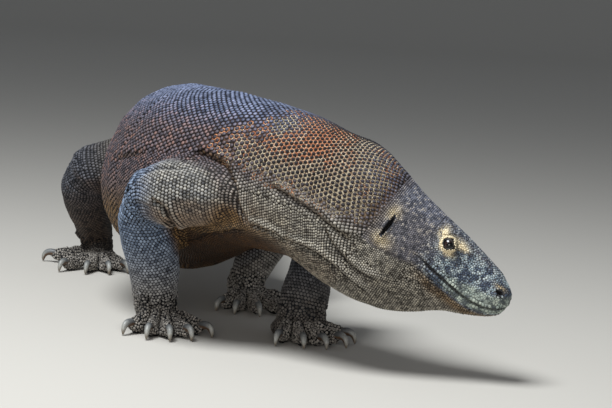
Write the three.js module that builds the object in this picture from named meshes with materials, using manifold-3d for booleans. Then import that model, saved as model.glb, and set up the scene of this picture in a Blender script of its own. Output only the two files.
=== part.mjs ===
// Komodo dragon (Varanus komodoensis): an adult standing still, its body bent and its lowered head
// turned to its left. Millimetres; +X runs from the hips to the shoulders, +Y is the animal's left,
// +Z is up, and the soles of its feet rest at z = 0.

import * as THREE from 'three';
import { mergeVertices } from 'three/addons/utils/BufferGeometryUtils.js';
import Module from 'manifold-3d';

const wasm = await Module();
wasm.setup();

// ---------- driving dimensions ----------

const GAP = 0.3; // thin cut between neighbouring pieces
const SOLE_DEPTH = 2.5; // how far soles and tail press below the floor before they are cut flat
const WIDEST_LEVEL = 0.45; // share of a section's height at which it is widest

// Tail, trunk and neck: centre line (x, y), height of back and of belly above the floor, half width.
const BODY = [
  { x: -1300, y: 62, back: 8, belly: -SOLE_DEPTH, wide: 3 },
  { x: -1130, y: 40, back: 30, belly: -SOLE_DEPTH, wide: 11 },
  { x: -900, y: 62, back: 60, belly: -SOLE_DEPTH, wide: 20 },
  { x: -660, y: 112, back: 100, belly: 3, wide: 29 },
  { x: -430, y: 122, back: 162, belly: 44, wide: 40 },
  { x: -250, y: 82, back: 224, belly: 84, wide: 55 },
  { x: -110, y: 32, back: 282, belly: 110, wide: 76 },
  { x: 20, y: -12, back: 313, belly: 108, wide: 98 },
  { x: 150, y: -50, back: 331, belly: 84, wide: 122 },
  { x: 290, y: -70, back: 340, belly: 62, wide: 131 },
  { x: 430, y: -55, back: 343, belly: 98, wide: 119 },
  { x: 545, y: -12, back: 340, belly: 133, wide: 102 },
  { x: 622, y: 36, back: 329, belly: 133, wide: 87 },
  { x: 674, y: 79, back: 312, belly: 108, wide: 76 },
  { x: 711, y: 118, back: 298, belly: 90, wide: 65 },
  { x: 738, y: 166, back: 252, belly: 96, wide: 40 },
];
const BODY_SIDES = 20;
const BODY_RINGS = 37;

// Where the body parts, as shares of the way along the stations above.
const NECK_CUT = 0.795;
const TAIL_CUTS = [['tail_tip', 0.1], ['tail_end', 0.19], ['tail_middle', 0.28], ['tail_base', 0.4]];

// Head, in its own frame: x from the ear openings to the snout, z up. Its lower edge is the chin in
// front and the hanging skin of the throat behind.
const HEAD_PLACE = { x: 724, y: 139, z: 199, heading: 68, pitch: 33 };
const HEAD = [
  { x: -62, top: 44, under: -48, wide: 30 },
  { x: -40, top: 57, under: -83, wide: 48 },
  { x: -12, top: 60, under: -100, wide: 56 },
  { x: 22, top: 56, under: -107, wide: 56 },
  { x: 55, top: 52, under: -99, wide: 50 },
  { x: 85, top: 49, under: -80, wide: 43 },
  { x: 112, top: 45, under: -58, wide: 36 },
  { x: 140, top: 40, under: -40, wide: 31 },
  { x: 165, top: 32, under: -24, wide: 28 },
  { x: 179, top: 24, under: -12, wide: 21 },
  { x: 185, top: 16, under: -1, wide: 11 },
];
const HEAD_SIDES = 20;
const HEAD_RINGS = 20;
const THROAT_TAPER = 0.22; // how much narrower the head's section gets towards its lower edge
const HEAD_CUT = -14; // where head and neck part

// Swellings of the head: where they are along it, how far round from its widest level (degrees, positive
// towards the crown), how far they spread each way, and how much they stand out.
const SWELLINGS = [
  { x: 74, round: 48, length: 22, spread: 15, out: 5.5 }, // brow
  { x: 28, round: 4, length: 30, spread: 24, out: 3.5 }, // jaw muscle
  { x: 160, round: 34, length: 13, spread: 22, out: 3 }, // nostril
];
const EYE = { x: 77, y: 31, z: 28, radius: 10.5 };
const EAR = { x: 1, y: 55, z: 2, length: 4.5, depth: 7, height: 15 };
const NOSTRIL = { x: 167, y: 27, z: 20, length: 5, depth: 4, height: 3.5 };

// Limbs, from the joint inside the body to the wrist or ankle: centre and the two half widths there.
const LEGS = {
  foreleg_right: {
    upper: 'upper_arm_right', lower: 'forearm_right', end: 'hand_right',
    line: [
      { at: [622, -34, 214], fore: 30, side: 30 },
      { at: [584, -106, 210], fore: 58, side: 50 },
      { at: [530, -156, 196], fore: 44, side: 42 },
      { at: [508, -155, 150], fore: 42, side: 41 },
      { at: [490, -141, 95], fore: 37, side: 38 },
      { at: [470, -134, 45], fore: 29, side: 32 },
      { at: [468, -130, 18], fore: 24, side: 30 },
    ],
  },
  foreleg_left: {
    upper: 'upper_arm_left', lower: 'forearm_left', end: 'hand_left',
    line: [
      { at: [566, 34, 212], fore: 30, side: 30 },
      { at: [520, 88, 204], fore: 54, side: 46 },
      { at: [456, 120, 190], fore: 42, side: 40 },
      { at: [456, 108, 145], fore: 40, side: 38 },
      { at: [474, 87, 92], fore: 35, side: 33 },
      { at: [490, 75, 45], fore: 28, side: 38 },
      { at: [494, 73, 18], fore: 24, side: 35 },
    ],
  },
  hindleg_right: {
    upper: 'thigh_right', lower: 'shank_right', end: 'foot_right',
    line: [
      { at: [-20, -50, 196], fore: 62, side: 48 },
      { at: [-28, -118, 186], fore: 56, side: 50 },
      { at: [-42, -188, 168], fore: 44, side: 44 },
      { at: [-78, -192, 130], fore: 42, side: 41 },
      { at: [-118, -176, 85], fore: 36, side: 34 },
      { at: [-152, -160, 42], fore: 28, side: 29 },
      { at: [-150, -160, 18], fore: 26, side: 28 },
    ],
  },
  hindleg_left: {
    upper: 'thigh_left', lower: 'shank_left', end: 'foot_left',
    line: [
      { at: [32, 30, 192], fore: 60, side: 48 },
      { at: [98, 72, 184], fore: 54, side: 46 },
      { at: [176, 102, 166], fore: 42, side: 40 },
      { at: [202, 84, 128], fore: 40, side: 38 },
      { at: [216, 60, 85], fore: 35, side: 34 },
      { at: [222, 38, 44], fore: 28, side: 30 },
      { at: [226, 36, 20], fore: 26, side: 29 },
    ],
  },
};
const LEG_SIDES = 10;
const LEG_RINGS = 9;

// Hands and feet: where the palm sits, the way it points, and for each toe (innermost first) the angle it
// leaves the palm at, positive toward the animal's left, and its length without the claw.
const PAWS = {
  hand_right: {
    x: 458, y: -122, heading: -2, palm: 42, palmWide: 32,
    angles: [46, 20, 2, -16, -40], reach: [46, 56, 60, 56, 44],
  },
  hand_left: {
    x: 488, y: 64, heading: 18, palm: 40, palmWide: 33,
    angles: [-44, -20, -2, 18, 42], reach: [44, 54, 58, 56, 46],
  },
  foot_right: {
    x: -122, y: -158, heading: -12, palm: 50, palmWide: 31,
    angles: [38, 16, -4, -26, -92], reach: [48, 62, 72, 76, 50],
  },
  foot_left: {
    x: 230, y: 37, heading: -2, palm: 48, palmWide: 30,
    angles: [-36, -16, 4, 26, 72], reach: [46, 60, 68, 72, 58],
  },
};
const PALM_THICK = 17;
const TOES = ['1', '2', '3', '4', '5'];
const TOE_RADIUS = 9.5;
const TOE_SIDES = 5;
const CLAW_LENGTH = 27;
const CLAW_RADIUS = 5.2;
const CLAW_CLEARANCE = 1.2; // height of the claw points above the floor

// Colour, roughness and metalness of each kind of surface.
const HIDE = { color: 0x4b4f52, roughness: 0.75, metalness: 0 };
const CLAW_HORN = { color: 0x8d8578, roughness: 0.45, metalness: 0 };
const EYE_GLOSS = { color: 0x1c1310, roughness: 0.15, metalness: 0 };

// ---------- solids ----------

const UP = new THREE.Vector3(0, 0, 1);

function solidOf(geometry) {
  const bare = geometry.clone();
  bare.deleteAttribute('normal');
  bare.deleteAttribute('uv');
  const merged = mergeVertices(bare, 1e-4);
  const vertProperties = new Float32Array(merged.attributes.position.array);
  const triVerts = new Uint32Array(merged.index.array);
  return new wasm.Manifold(new wasm.Mesh({ numProp: 3, vertProperties, triVerts }));
}

function geometryOf(solid) {
  const mesh = solid.getMesh();
  const geometry = new THREE.BufferGeometry();
  geometry.setAttribute('position', new THREE.Float32BufferAttribute(mesh.vertProperties, 3));
  geometry.setIndex(new THREE.Uint32BufferAttribute(mesh.triVerts, 1));
  geometry.computeVertexNormals();
  return geometry;
}

// A closed tube. place(t, right, up) gives the point at t along it (0 to 1), right and up from its middle
// as shares of its half width and half height (both 0 at the middle of an end cap).
function tube(sides, rings, place) {
  const geometry = new THREE.CylinderGeometry(1, 1, 1, sides, rings);
  const points = geometry.attributes.position;
  for (let i = 0; i < points.count; i++) {
    const spot = place(0.5 + points.getY(i), points.getX(i), points.getZ(i));
    points.setXYZ(i, spot.x, spot.y, spot.z);
  }
  return solidOf(geometry);
}

// A ball stretched to three half sizes, in the frame that the matrix gives.
function ball(x, y, z, matrix) {
  const geometry = new THREE.SphereGeometry(1, 10, 6);
  geometry.scale(x, y, z);
  geometry.applyMatrix4(matrix);
  return solidOf(geometry);
}

// Smooth curve through one triple of numbers per station, read back at t along the stations.
function through(triples) {
  const points = triples.map((triple) => new THREE.Vector3(...triple));
  return new THREE.CatmullRomCurve3(points, false, 'catmullrom');
}

// grow thickens the body all round, for the hollow it leaves in what is cut to fit against it.
function bodySolid(grow) {
  const middle = through(BODY.map((s) => [s.x, s.y, 0]));
  const girth = through(BODY.map((s) => [s.back + grow, s.belly - grow, s.wide + grow]));
  return tube(BODY_SIDES, BODY_RINGS, (t, right, up) => {
    const { x: back, y: belly, z: wide } = girth.getPoint(t);
    const level = belly + (back - belly) * WIDEST_LEVEL;
    const toRight = middle.getTangent(t).cross(UP).normalize();
    const spot = middle.getPoint(t).addScaledVector(toRight, right * wide);
    spot.z = level + up * (up > 0 ? back - level : level - belly);
    return spot;
  });
}

const headFrame = new THREE.Matrix4()
  .makeTranslation(HEAD_PLACE.x, HEAD_PLACE.y, HEAD_PLACE.z)
  .multiply(new THREE.Matrix4().makeRotationZ(THREE.MathUtils.degToRad(HEAD_PLACE.heading)))
  .multiply(new THREE.Matrix4().makeRotationY(THREE.MathUtils.degToRad(HEAD_PLACE.pitch)));

// The head's frame moved to a place on it, on the left (side 1) or the right (side -1).
function onHead(x, y, z, side = 1) {
  return headFrame.clone().multiply(new THREE.Matrix4().makeTranslation(x, side * y, z));
}

function headSolid() {
  const line = through(HEAD.map((s) => [s.x, 0, 0]));
  const girth = through(HEAD.map((s) => [s.top, s.under, s.wide]));
  let solid = tube(HEAD_SIDES, HEAD_RINGS, (t, right, up) => {
    const { x: top, y: under, z: wide } = girth.getPoint(t);
    const { x } = line.getPoint(t);
    const level = under + (top - under) * WIDEST_LEVEL;
    const round = THREE.MathUtils.radToDeg(Math.atan2(up, Math.abs(right)));
    const narrow = up < 0 ? 1 - THROAT_TAPER * up * up : 1;
    let out = 0;
    for (const swelling of SWELLINGS) {
      const along = (x - swelling.x) / swelling.length;
      const around = (round - swelling.round) / swelling.spread;
      out += swelling.out * Math.exp(-along * along - around * around);
    }
    const aside = -right * (wide * narrow + out);
    const high = level + up * ((up > 0 ? top - level : level - under) + out);
    return new THREE.Vector3(x, aside, high).applyMatrix4(headFrame);
  });
  for (const side of [-1, 1]) {
    const ear = ball(EAR.length, EAR.depth, EAR.height, onHead(EAR.x, EAR.y, EAR.z, side));
    const snoutSide = onHead(NOSTRIL.x, NOSTRIL.y, NOSTRIL.z, side);
    const nostril = ball(NOSTRIL.length, NOSTRIL.depth, NOSTRIL.height, snoutSide);
    solid = solid.subtract(ear).subtract(nostril);
  }
  return solid;
}

function legSolid(line) {
  const middle = through(line.map((s) => s.at));
  const girth = through(line.map((s) => [s.fore, s.side, 0]));
  return tube(LEG_SIDES, LEG_RINGS, (t, right, up) => {
    const { x: fore, y: side } = girth.getPoint(t);
    const along = middle.getTangent(t);
    // The leg's front faces +X as nearly as its direction lets it.
    const front = new THREE.Vector3(1, 0, 0).addScaledVector(along, -along.x).normalize();
    const across = new THREE.Vector3().crossVectors(front, along);
    return middle.getPoint(t).addScaledVector(across, -right * side).addScaledVector(front, up * fore);
  });
}

const turned = (degrees) => {
  const angle = THREE.MathUtils.degToRad(degrees);
  return new THREE.Vector3(Math.cos(angle), Math.sin(angle), 0);
};

// A tube of given radii through spots that lie in the upright plane of one heading.
function digit(start, heading, profile, sides, rings) {
  const forward = turned(heading);
  const toRight = new THREE.Vector3().crossVectors(forward, UP);
  const line = through(profile.map((p) => [p.out, p.high, p.radius]));
  return tube(sides, rings, (t, right, up) => {
    const { x: out, y: high, z: radius } = line.getPoint(t);
    const slope = line.getTangent(t);
    const normal = forward.clone().multiplyScalar(-slope.y).addScaledVector(UP, Math.hypot(slope.x, slope.z));
    normal.normalize();
    return start.clone().addScaledVector(forward, out).addScaledVector(UP, high)
      .addScaledVector(toRight, right * radius).addScaledVector(normal, up * radius);
  });
}

function toeSolid(start, heading, reach) {
  return digit(start, heading, [
    { out: -14, high: 17, radius: TOE_RADIUS * 1.15 },
    { out: reach * 0.32, high: 19, radius: TOE_RADIUS * 1.08 },
    { out: reach * 0.7, high: 7.2, radius: TOE_RADIUS },
    { out: reach * 0.92, high: 6.4, radius: TOE_RADIUS * 0.86 },
    { out: reach, high: 6.8, radius: TOE_RADIUS * 0.6 },
  ], TOE_SIDES, 4);
}

// grow widens the claw for the socket that the toe keeps around its root.
function clawSolid(start, heading, reach, grow) {
  const root = reach * 0.93;
  return digit(start, heading, [
    { out: root - 4 - grow, high: 8, radius: CLAW_RADIUS * 0.9 + grow },
    { out: root + CLAW_LENGTH * 0.2, high: 11, radius: CLAW_RADIUS + grow },
    { out: root + CLAW_LENGTH * 0.6, high: 9, radius: CLAW_RADIUS * 0.66 + grow },
    { out: root + CLAW_LENGTH, high: CLAW_CLEARANCE + 0.8, radius: 0.7 + grow },
  ], 4, 3);
}

function palmSolid(paw) {
  const forward = turned(paw.heading);
  const toRight = new THREE.Vector3().crossVectors(forward, UP);
  const basis = new THREE.Matrix4().makeBasis(forward, toRight.negate(), UP);
  basis.setPosition(paw.x, paw.y, PALM_THICK * 0.7);
  return ball(paw.palm, paw.palmWide, PALM_THICK, basis);
}

// The block of space on the far side of a plane: at is on the plane, away points into the block.
function block(at, away, reach, wide, gap) {
  const forward = new THREE.Vector3(...away).normalize();
  const level = Math.abs(forward.z) > 0.99 ? new THREE.Vector3(0, 1, 0) : UP;
  const side = new THREE.Vector3().crossVectors(level, forward).normalize();
  const high = new THREE.Vector3().crossVectors(forward, side);
  const geometry = new THREE.BoxGeometry(reach, wide, wide);
  geometry.translate(reach / 2 - gap, 0, 0);
  geometry.applyMatrix4(new THREE.Matrix4().makeBasis(forward, side, high).setPosition(...at));
  return solidOf(geometry);
}

// ---------- the animal, whole, then parted ----------

const group = new THREE.Group();

function addPiece(name, solid, looks) {
  const piece = new THREE.Mesh(geometryOf(solid), new THREE.MeshStandardMaterial(looks));
  piece.name = name;
  group.add(piece);
}

// The share of a solid beyond a plane, and what is left of it on the near side with the thin cut taken off.
function part(solid, at, away, wide = 600) {
  return {
    beyond: solid.intersect(block(at, away, 1200, wide, 0)),
    rest: solid.subtract(block(at, away, 1200, wide, GAP)),
  };
}

const underFloor = block([0, 0, 0], [0, 0, -1], 100, 4000, 0);

// Eyes sit in sockets that follow them at the width of the thin cut.
let core = bodySolid(0).add(headSolid()).subtract(underFloor);
for (const [name, side] of [['eye_right', -1], ['eye_left', 1]]) {
  const seat = onHead(EYE.x, EYE.y, EYE.z, side);
  const room = EYE.radius + GAP;
  core = core.subtract(ball(room, room, room, seat));
  addPiece(name, ball(EYE.radius, EYE.radius, EYE.radius, seat), EYE_GLOSS);
}

// Head, neck and tail are parted square to the body's own line.
const headForward = new THREE.Vector3(1, 0, 0).transformDirection(headFrame);
const headCut = new THREE.Vector3(HEAD_CUT, 0, 0).applyMatrix4(headFrame);
const head = part(core, headCut.toArray(), headForward.toArray(), 320);
addPiece('head', head.beyond, HIDE);

const bodyLine = through(BODY.map((s) => [s.x, s.y, 0]));
function bodyPlane(t) {
  const at = bodyLine.getPoint(t);
  at.z = 150;
  return { at: at.toArray(), along: bodyLine.getTangent(t) };
}

const neckPlane = bodyPlane(NECK_CUT);
const neck = part(head.rest, neckPlane.at, neckPlane.along.toArray());
addPiece('neck', neck.beyond, HIDE);

let rear = neck.rest;
for (const [name, t] of TAIL_CUTS) {
  const plane = bodyPlane(t);
  const length = part(rear, plane.at, plane.along.negate().toArray(), 900);
  addPiece(name, length.beyond, HIDE);
  rear = length.rest;
}
addPiece('trunk', rear, HIDE);

const bodyRoom = bodySolid(GAP);
for (const leg of Object.values(LEGS)) {
  const paw = PAWS[leg.end];
  let limb = legSolid(leg.line).add(palmSolid(paw));
  const sockets = [];
  TOES.forEach((toe, i) => {
    const heading = paw.heading + paw.angles[i];
    const out = turned(heading).multiplyScalar(paw.palmWide * 0.7);
    const start = new THREE.Vector3(paw.x, paw.y, 0).add(out);
    limb = limb.add(toeSolid(start, heading, paw.reach[i]));
    sockets.push(clawSolid(start, heading, paw.reach[i], GAP));
    addPiece(`claw_${leg.end}_${toe}`, clawSolid(start, heading, paw.reach[i], 0), CLAW_HORN);
  });
  for (const socket of sockets) limb = limb.subtract(socket);
  limb = limb.subtract(underFloor).subtract(bodyRoom);

  const [, shoulder, bend, below, , ankle] = leg.line.map((s) => new THREE.Vector3(...s.at));
  const end = part(limb, ankle.toArray(), [0, 0, -1]);
  addPiece(leg.end, end.beyond, HIDE);
  // The plane through the elbow or knee halves the angle between the two bones.
  const away = below.clone().sub(bend).normalize().add(bend.clone().sub(shoulder).normalize());
  const lower = part(end.rest, bend.clone().lerp(below, 0.25).toArray(), away.toArray());
  addPiece(leg.lower, lower.beyond, HIDE);
  addPiece(leg.upper, lower.rest, HIDE);
}

// The origin is on the floor, under the middle of the animal's outline.
const bounds = new THREE.Box3().setFromObject(group);
const centre = bounds.getCenter(new THREE.Vector3());
group.position.set(-centre.x, -centre.y, -bounds.min.z);

export default group;
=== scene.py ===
# %% [markdown]
# # A komodo dragon, life size, standing with its head down
#
# The solids give this animal its bulk: head, neck, trunk, four lengths of tail, and each leg in
# three parts. This script dresses them. One skin is wrapped round all the flesh, folded and
# wrinkled where a lizard's loose hide folds, and then nearly fifty thousand bony scales are set on
# it, each a small dome with its foot sunk in the skin. Eyes with lids and horn claws come last.
#
# Everything is in metres. +X is the way the trunk faces and +Z is up.

# %% Load the solids and measure them
import itertools
import math

import bpy
import numpy as np
from mathutils import Matrix, Vector
from mathutils.bvhtree import BVHTree
from mathutils.kdtree import KDTree


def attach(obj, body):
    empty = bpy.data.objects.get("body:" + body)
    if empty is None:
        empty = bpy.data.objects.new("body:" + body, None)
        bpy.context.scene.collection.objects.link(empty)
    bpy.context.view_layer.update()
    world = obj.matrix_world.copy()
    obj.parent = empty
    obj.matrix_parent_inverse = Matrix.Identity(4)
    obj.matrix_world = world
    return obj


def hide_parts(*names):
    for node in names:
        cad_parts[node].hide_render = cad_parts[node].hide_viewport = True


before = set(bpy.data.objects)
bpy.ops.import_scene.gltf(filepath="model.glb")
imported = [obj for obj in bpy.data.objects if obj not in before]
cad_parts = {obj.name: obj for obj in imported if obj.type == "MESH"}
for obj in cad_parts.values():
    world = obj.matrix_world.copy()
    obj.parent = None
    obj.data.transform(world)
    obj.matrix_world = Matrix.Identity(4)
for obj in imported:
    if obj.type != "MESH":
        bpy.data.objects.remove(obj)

MM = 0.001
chance = np.random.default_rng(7)
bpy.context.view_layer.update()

# %% [markdown]
# ## The lines that the animal is built along
#
# A sculptor starts from a wire. Ours has one line down the middle of the body, from tail tip to
# neck, one through the head, and one down each leg. Each station on a line says how far the hide
# is from it, so any spot on the hide can be given an address: how far along its line it is, and
# how far round. Markings, wrinkles and rows of scales are all placed by that address, which makes
# them follow the bends of the body as they do in life.

# %% Lines and girths, in millimetres
# Body: x, y, height of the back, height of the belly, half width.
BODY = [
    (-1052, 41, 8, -2, 3), (-882, 19, 30, -2, 11), (-652, 41, 60, -2, 20), (-412, 91, 100, 3, 29),
    (-182, 101, 162, 44, 40), (-2, 61, 224, 84, 55), (138, 11, 282, 110, 76), (268, -33, 313, 108, 98),
    (398, -71, 331, 84, 122), (538, -91, 340, 62, 131), (678, -76, 343, 98, 119),
    (793, -33, 340, 133, 102), (870, 15, 329, 133, 87), (922, 58, 312, 108, 76),
    (959, 97, 298, 90, 65), (986, 145, 252, 96, 40),
]
WIDEST = 0.45
# Head, in its own frame from the ears to the snout: x, top, underside, half width.
HEAD = [
    (-62, 44, -48, 30), (-40, 57, -83, 48), (-12, 60, -100, 56), (22, 56, -107, 56), (55, 52, -99, 50),
    (85, 49, -80, 43), (112, 45, -58, 36), (140, 40, -40, 31), (165, 32, -24, 28), (179, 24, -12, 21),
    (185, 16, -1, 11),
]
HEAD_AT = Vector((0.97204, 0.11776, 0.199))
HEAD_HEADING = math.radians(68)
HEAD_NOD = math.radians(33)
# Legs: x, y, z, half depth front to back, half width from side to side.
LEGS = {
    "foreleg_right": [(870, -55, 214, 30, 30), (832, -127, 210, 58, 50), (778, -177, 196, 44, 42),
                      (756, -176, 150, 42, 41), (738, -162, 95, 37, 38), (718, -155, 45, 29, 32),
                      (716, -151, 18, 24, 30)],
    "foreleg_left": [(814, 13, 212, 30, 30), (768, 67, 204, 54, 46), (704, 99, 190, 42, 40),
                     (704, 87, 145, 40, 38), (722, 66, 92, 35, 33), (738, 54, 45, 28, 38),
                     (742, 52, 18, 24, 35)],
    "hindleg_right": [(228, -71, 196, 62, 48), (220, -139, 186, 56, 50), (206, -209, 168, 44, 44),
                      (170, -213, 130, 42, 41), (130, -197, 85, 36, 34), (96, -181, 42, 28, 29),
                      (98, -181, 18, 26, 28)],
    "hindleg_left": [(280, 9, 192, 60, 48), (346, 51, 184, 54, 46), (424, 81, 166, 42, 40),
                     (450, 63, 128, 40, 38), (464, 39, 85, 35, 34), (470, 17, 44, 28, 30),
                     (474, 15, 20, 26, 29)],
}
ANKLE_HEIGHT = 0.048
POINTS_AT_ONCE = 20000


def through(stations, samples):
    """A smooth curve of so many rows of numbers, through the rows of a table."""
    rows = np.array(stations, float)
    rows = np.vstack([2 * rows[0] - rows[1], rows, 2 * rows[-1] - rows[-2]])
    at = np.linspace(0, len(stations) - 1 - 1e-9, samples)
    i = at.astype(int)
    t = (at - i)[:, None]
    a, b, c, d = rows[i], rows[i + 1], rows[i + 2], rows[i + 3]
    return 0.5 * (2 * b + (c - a) * t + (2 * a - 5 * b + 4 * c - d) * t**2 + (3 * b - a - 3 * c + d) * t**3)


def unit(v):
    """The same directions with a length of one."""
    return v / np.maximum(np.linalg.norm(v, axis=-1, keepdims=True), 1e-12)


class Line:
    """A line through a part of the animal, and how far the hide is from it up, down and sideways."""

    def __init__(self, name, spots, ahead, up, high, low, wide):
        self.name = name
        self.spots, self.ahead = spots, ahead
        self.up = unit(up - ahead * (up * ahead).sum(1)[:, None])
        self.side = np.cross(self.up, self.ahead)
        self.high, self.low, self.wide = high, low, wide
        self.run = np.concatenate([[0], np.cumsum(np.linalg.norm(np.diff(spots, axis=0), axis=1))])
        self.length = self.run[-1]

    def address(self, points):
        """Distance along, angle round from the top, and share of the way out to the hide."""
        near = np.empty(len(points), int)
        for start in range(0, len(points), POINTS_AT_ONCE):
            block = points[start : start + POINTS_AT_ONCE]
            gap = ((block[:, None, :] - self.spots[None]) ** 2).sum(2)
            near[start : start + POINTS_AT_ONCE] = gap.argmin(1)
        off = points - self.spots[near]
        along = self.run[near] + (off * self.ahead[near]).sum(1)
        up = (off * self.up[near]).sum(1)
        side = (off * self.side[near]).sum(1)
        rise = up / np.where(up > 0, self.high[near], self.low[near])
        reach = np.hypot(rise, side / self.wide[near])
        return along, np.arctan2(side, up), reach

    def section(self, along):
        """The line's spot at a distance along, the ways up and sideways there, and the three girths."""
        spot, up, side = (
            np.array([np.interp(along, self.run, values[:, k]) for k in range(3)])
            for values in (self.spots, self.up, self.side)
        )
        girths = [np.interp(along, self.run, girth) for girth in (self.high, self.low, self.wide)]
        return spot, unit(up), unit(side), girths


def way_out(section, angle):
    """The direction at an angle round a section of a line, and how far out the hide should be there."""
    _, up, side, (high, low, wide) = section
    rise, aside = math.cos(angle), math.sin(angle)
    expected = 1 / math.hypot(rise / (high if rise > 0 else low), aside / wide)
    return up * rise + side * aside, expected


def body_line():
    rows = through(BODY, 400) * MM
    low = rows[:, 3] + (rows[:, 2] - rows[:, 3]) * WIDEST
    spots = np.column_stack([rows[:, 0], rows[:, 1], low])
    flat = np.gradient(spots, axis=0) * [1, 1, 0]
    up = np.tile([0.0, 0.0, 1.0], (len(spots), 1))
    return Line("body", spots, unit(flat), up, rows[:, 2] - low, low - rows[:, 3], rows[:, 4])


HEAD_TURN = np.array(Matrix.Rotation(HEAD_HEADING, 3, "Z") @ Matrix.Rotation(HEAD_NOD, 3, "Y"))


def on_head(spots):
    """Spots given in the head's frame in millimetres, moved to their place in the model."""
    return np.atleast_2d(spots) * MM @ HEAD_TURN.T + np.array(HEAD_AT)


def in_head(points):
    """Places in the model, told in the head's frame in millimetres."""
    return (points - np.array(HEAD_AT)) @ HEAD_TURN / MM


def head_line():
    rows = through(HEAD, 160)
    level = rows[:, 2] + (rows[:, 1] - rows[:, 2]) * WIDEST
    spots = on_head(np.column_stack([rows[:, 0], 0 * level, level]))
    ahead = np.tile(HEAD_TURN[:, 0], (len(spots), 1))
    up = np.tile(HEAD_TURN[:, 2], (len(spots), 1))
    high, low, wide = (rows[:, 1] - level) * MM, (level - rows[:, 2]) * MM, rows[:, 3] * MM
    return Line("head", spots, ahead, up, high, low, wide)


def leg_line(name):
    rows = through(LEGS[name], 120) * MM
    spots = rows[:, :3]
    ahead = unit(np.gradient(spots, axis=0))
    front = np.tile([1.0, 0.0, 0.0], (len(spots), 1))
    return Line(name, spots, ahead, front, rows[:, 3], rows[:, 3], rows[:, 4])


body = body_line()
head = head_line()
legs = [leg_line(name) for name in LEGS]
print("body line", round(body.length, 3), "m, head line", round(head.length, 3), "m")

# %% [markdown]
# ## One skin over all the flesh
#
# The solids are cut apart at the joints a person would name, and a hide has no such cuts. The
# pieces could be stitched by hand, but Blender's Remesh modifier does it in one go: it fills the
# shape with small cubes and wraps one new surface of even squares round them. The copies are first
# fattened a hair so that the cuts close, and copies of the eyes fill their sockets until the lids
# are made. Smooth modifiers then take the facets out, most on the broad trunk and least on the
# toes, and the face and feet get smaller squares for their detail.

# %% Wrap the skin
FLESH = ["head", "neck", "trunk", "tail_base", "tail_middle", "tail_end", "tail_tip"]
for limb, parts in (("foreleg", ("upper_arm", "forearm", "hand")), ("hindleg", ("thigh", "shank", "foot"))):
    FLESH += [f"{part}_{side}" for part in parts for side in ("right", "left")]
SKIN_SQUARE = 6.3 * MM
CUT_CLOSER = 0.4 * MM
COAT_DEPTH = 1.0 * MM


def pick_only(*objects):
    """Leaves these objects alone selected, the first one active."""
    bpy.ops.object.select_all(action="DESELECT")
    for obj in objects:
        obj.select_set(True)
    bpy.context.view_layer.objects.active = objects[0]


def copies_of(nodes, name):
    """One new object made of copies of solids, with their loose triangles joined up."""
    made = []
    for node in nodes:
        obj = bpy.data.objects.new(name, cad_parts[node].data.copy())
        obj.data.materials.clear()
        bpy.context.scene.collection.objects.link(obj)
        made.append(obj)
    pick_only(*made)
    if len(made) > 1:
        bpy.ops.object.join()
    bpy.ops.object.mode_set(mode="EDIT")
    bpy.ops.mesh.select_all(action="SELECT")
    bpy.ops.mesh.remove_doubles(threshold=1e-5)
    bpy.ops.object.mode_set(mode="OBJECT")
    made[0].name = made[0].data.name = name
    return made[0]


def add_alone(add, **settings):
    """Deselects everything, adds one primitive and gives it."""
    bpy.ops.object.select_all(action="DESELECT")
    add(**settings)
    return bpy.context.active_object


def face_outwards(obj):
    """Turns all faces of a closed mesh outwards."""
    pick_only(obj)
    bpy.ops.object.mode_set(mode="EDIT")
    bpy.ops.mesh.select_all(action="SELECT")
    bpy.ops.mesh.normals_make_consistent(inside=False)
    bpy.ops.object.mode_set(mode="OBJECT")


def modify(obj, kind, **settings):
    """Adds a modifier with these settings and applies it."""
    pick_only(obj)
    bpy.ops.object.modifier_add(type=kind)
    modifier = obj.modifiers[-1]
    for key, value in settings.items():
        setattr(modifier, key, value)
    bpy.ops.object.modifier_apply(modifier=modifier.name)


def spots_of(obj):
    """The places of an object's vertices."""
    spots = np.empty(len(obj.data.vertices) * 3, np.float32)
    obj.data.vertices.foreach_get("co", spots)
    return spots.reshape(-1, 3).astype(float)


def normals_of(obj):
    """The directions that an object's vertices face."""
    normals = np.empty(len(obj.data.vertices) * 3, np.float32)
    obj.data.vertex_normals.foreach_get("vector", normals)
    return normals.reshape(-1, 3).astype(float)


def put_spots(obj, spots):
    """Moves an object's vertices to these places."""
    obj.data.vertices.foreach_set("co", spots.astype(np.float32).ravel())
    obj.data.update()


def ease(value, low, high):
    """0 below low, 1 above high, and a soft step between them."""
    share = np.clip((value - low) / (high - low), 0, 1)
    return share * share * (3 - 2 * share)


def bump(value, middle, spread):
    """1 at the middle, falling away smoothly on both sides."""
    return np.exp(-(((value - middle) / spread) ** 2))


def weigh(obj, name, weights):
    """A vertex group with one weight for each vertex, given in steps of a twentieth."""
    group = obj.vertex_groups.new(name=name)
    steps = np.round(weights * 20).astype(int)
    for step in range(1, 21):
        members = np.flatnonzero(steps == step).tolist()
        if members:
            group.add(members, step / 20, "REPLACE")
    return group.name


def refine(obj, chosen):
    """Halves the sides of the faces whose middles are chosen."""
    pick_only(obj)
    bpy.ops.object.mode_set(mode="EDIT")
    bpy.ops.mesh.select_all(action="DESELECT")
    bpy.ops.object.mode_set(mode="OBJECT")
    middles = np.empty(len(obj.data.polygons) * 3, np.float32)
    obj.data.polygons.foreach_get("center", middles)
    picked = chosen(middles.reshape(-1, 3).astype(float))
    obj.data.polygons.foreach_set("select", picked)
    bpy.ops.object.mode_set(mode="EDIT")
    bpy.ops.mesh.select_mode(type="FACE")
    bpy.ops.mesh.subdivide(number_cuts=1)
    bpy.ops.object.mode_set(mode="OBJECT")
    print("refined", int(picked.sum()), "faces, now", len(obj.data.polygons))


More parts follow.
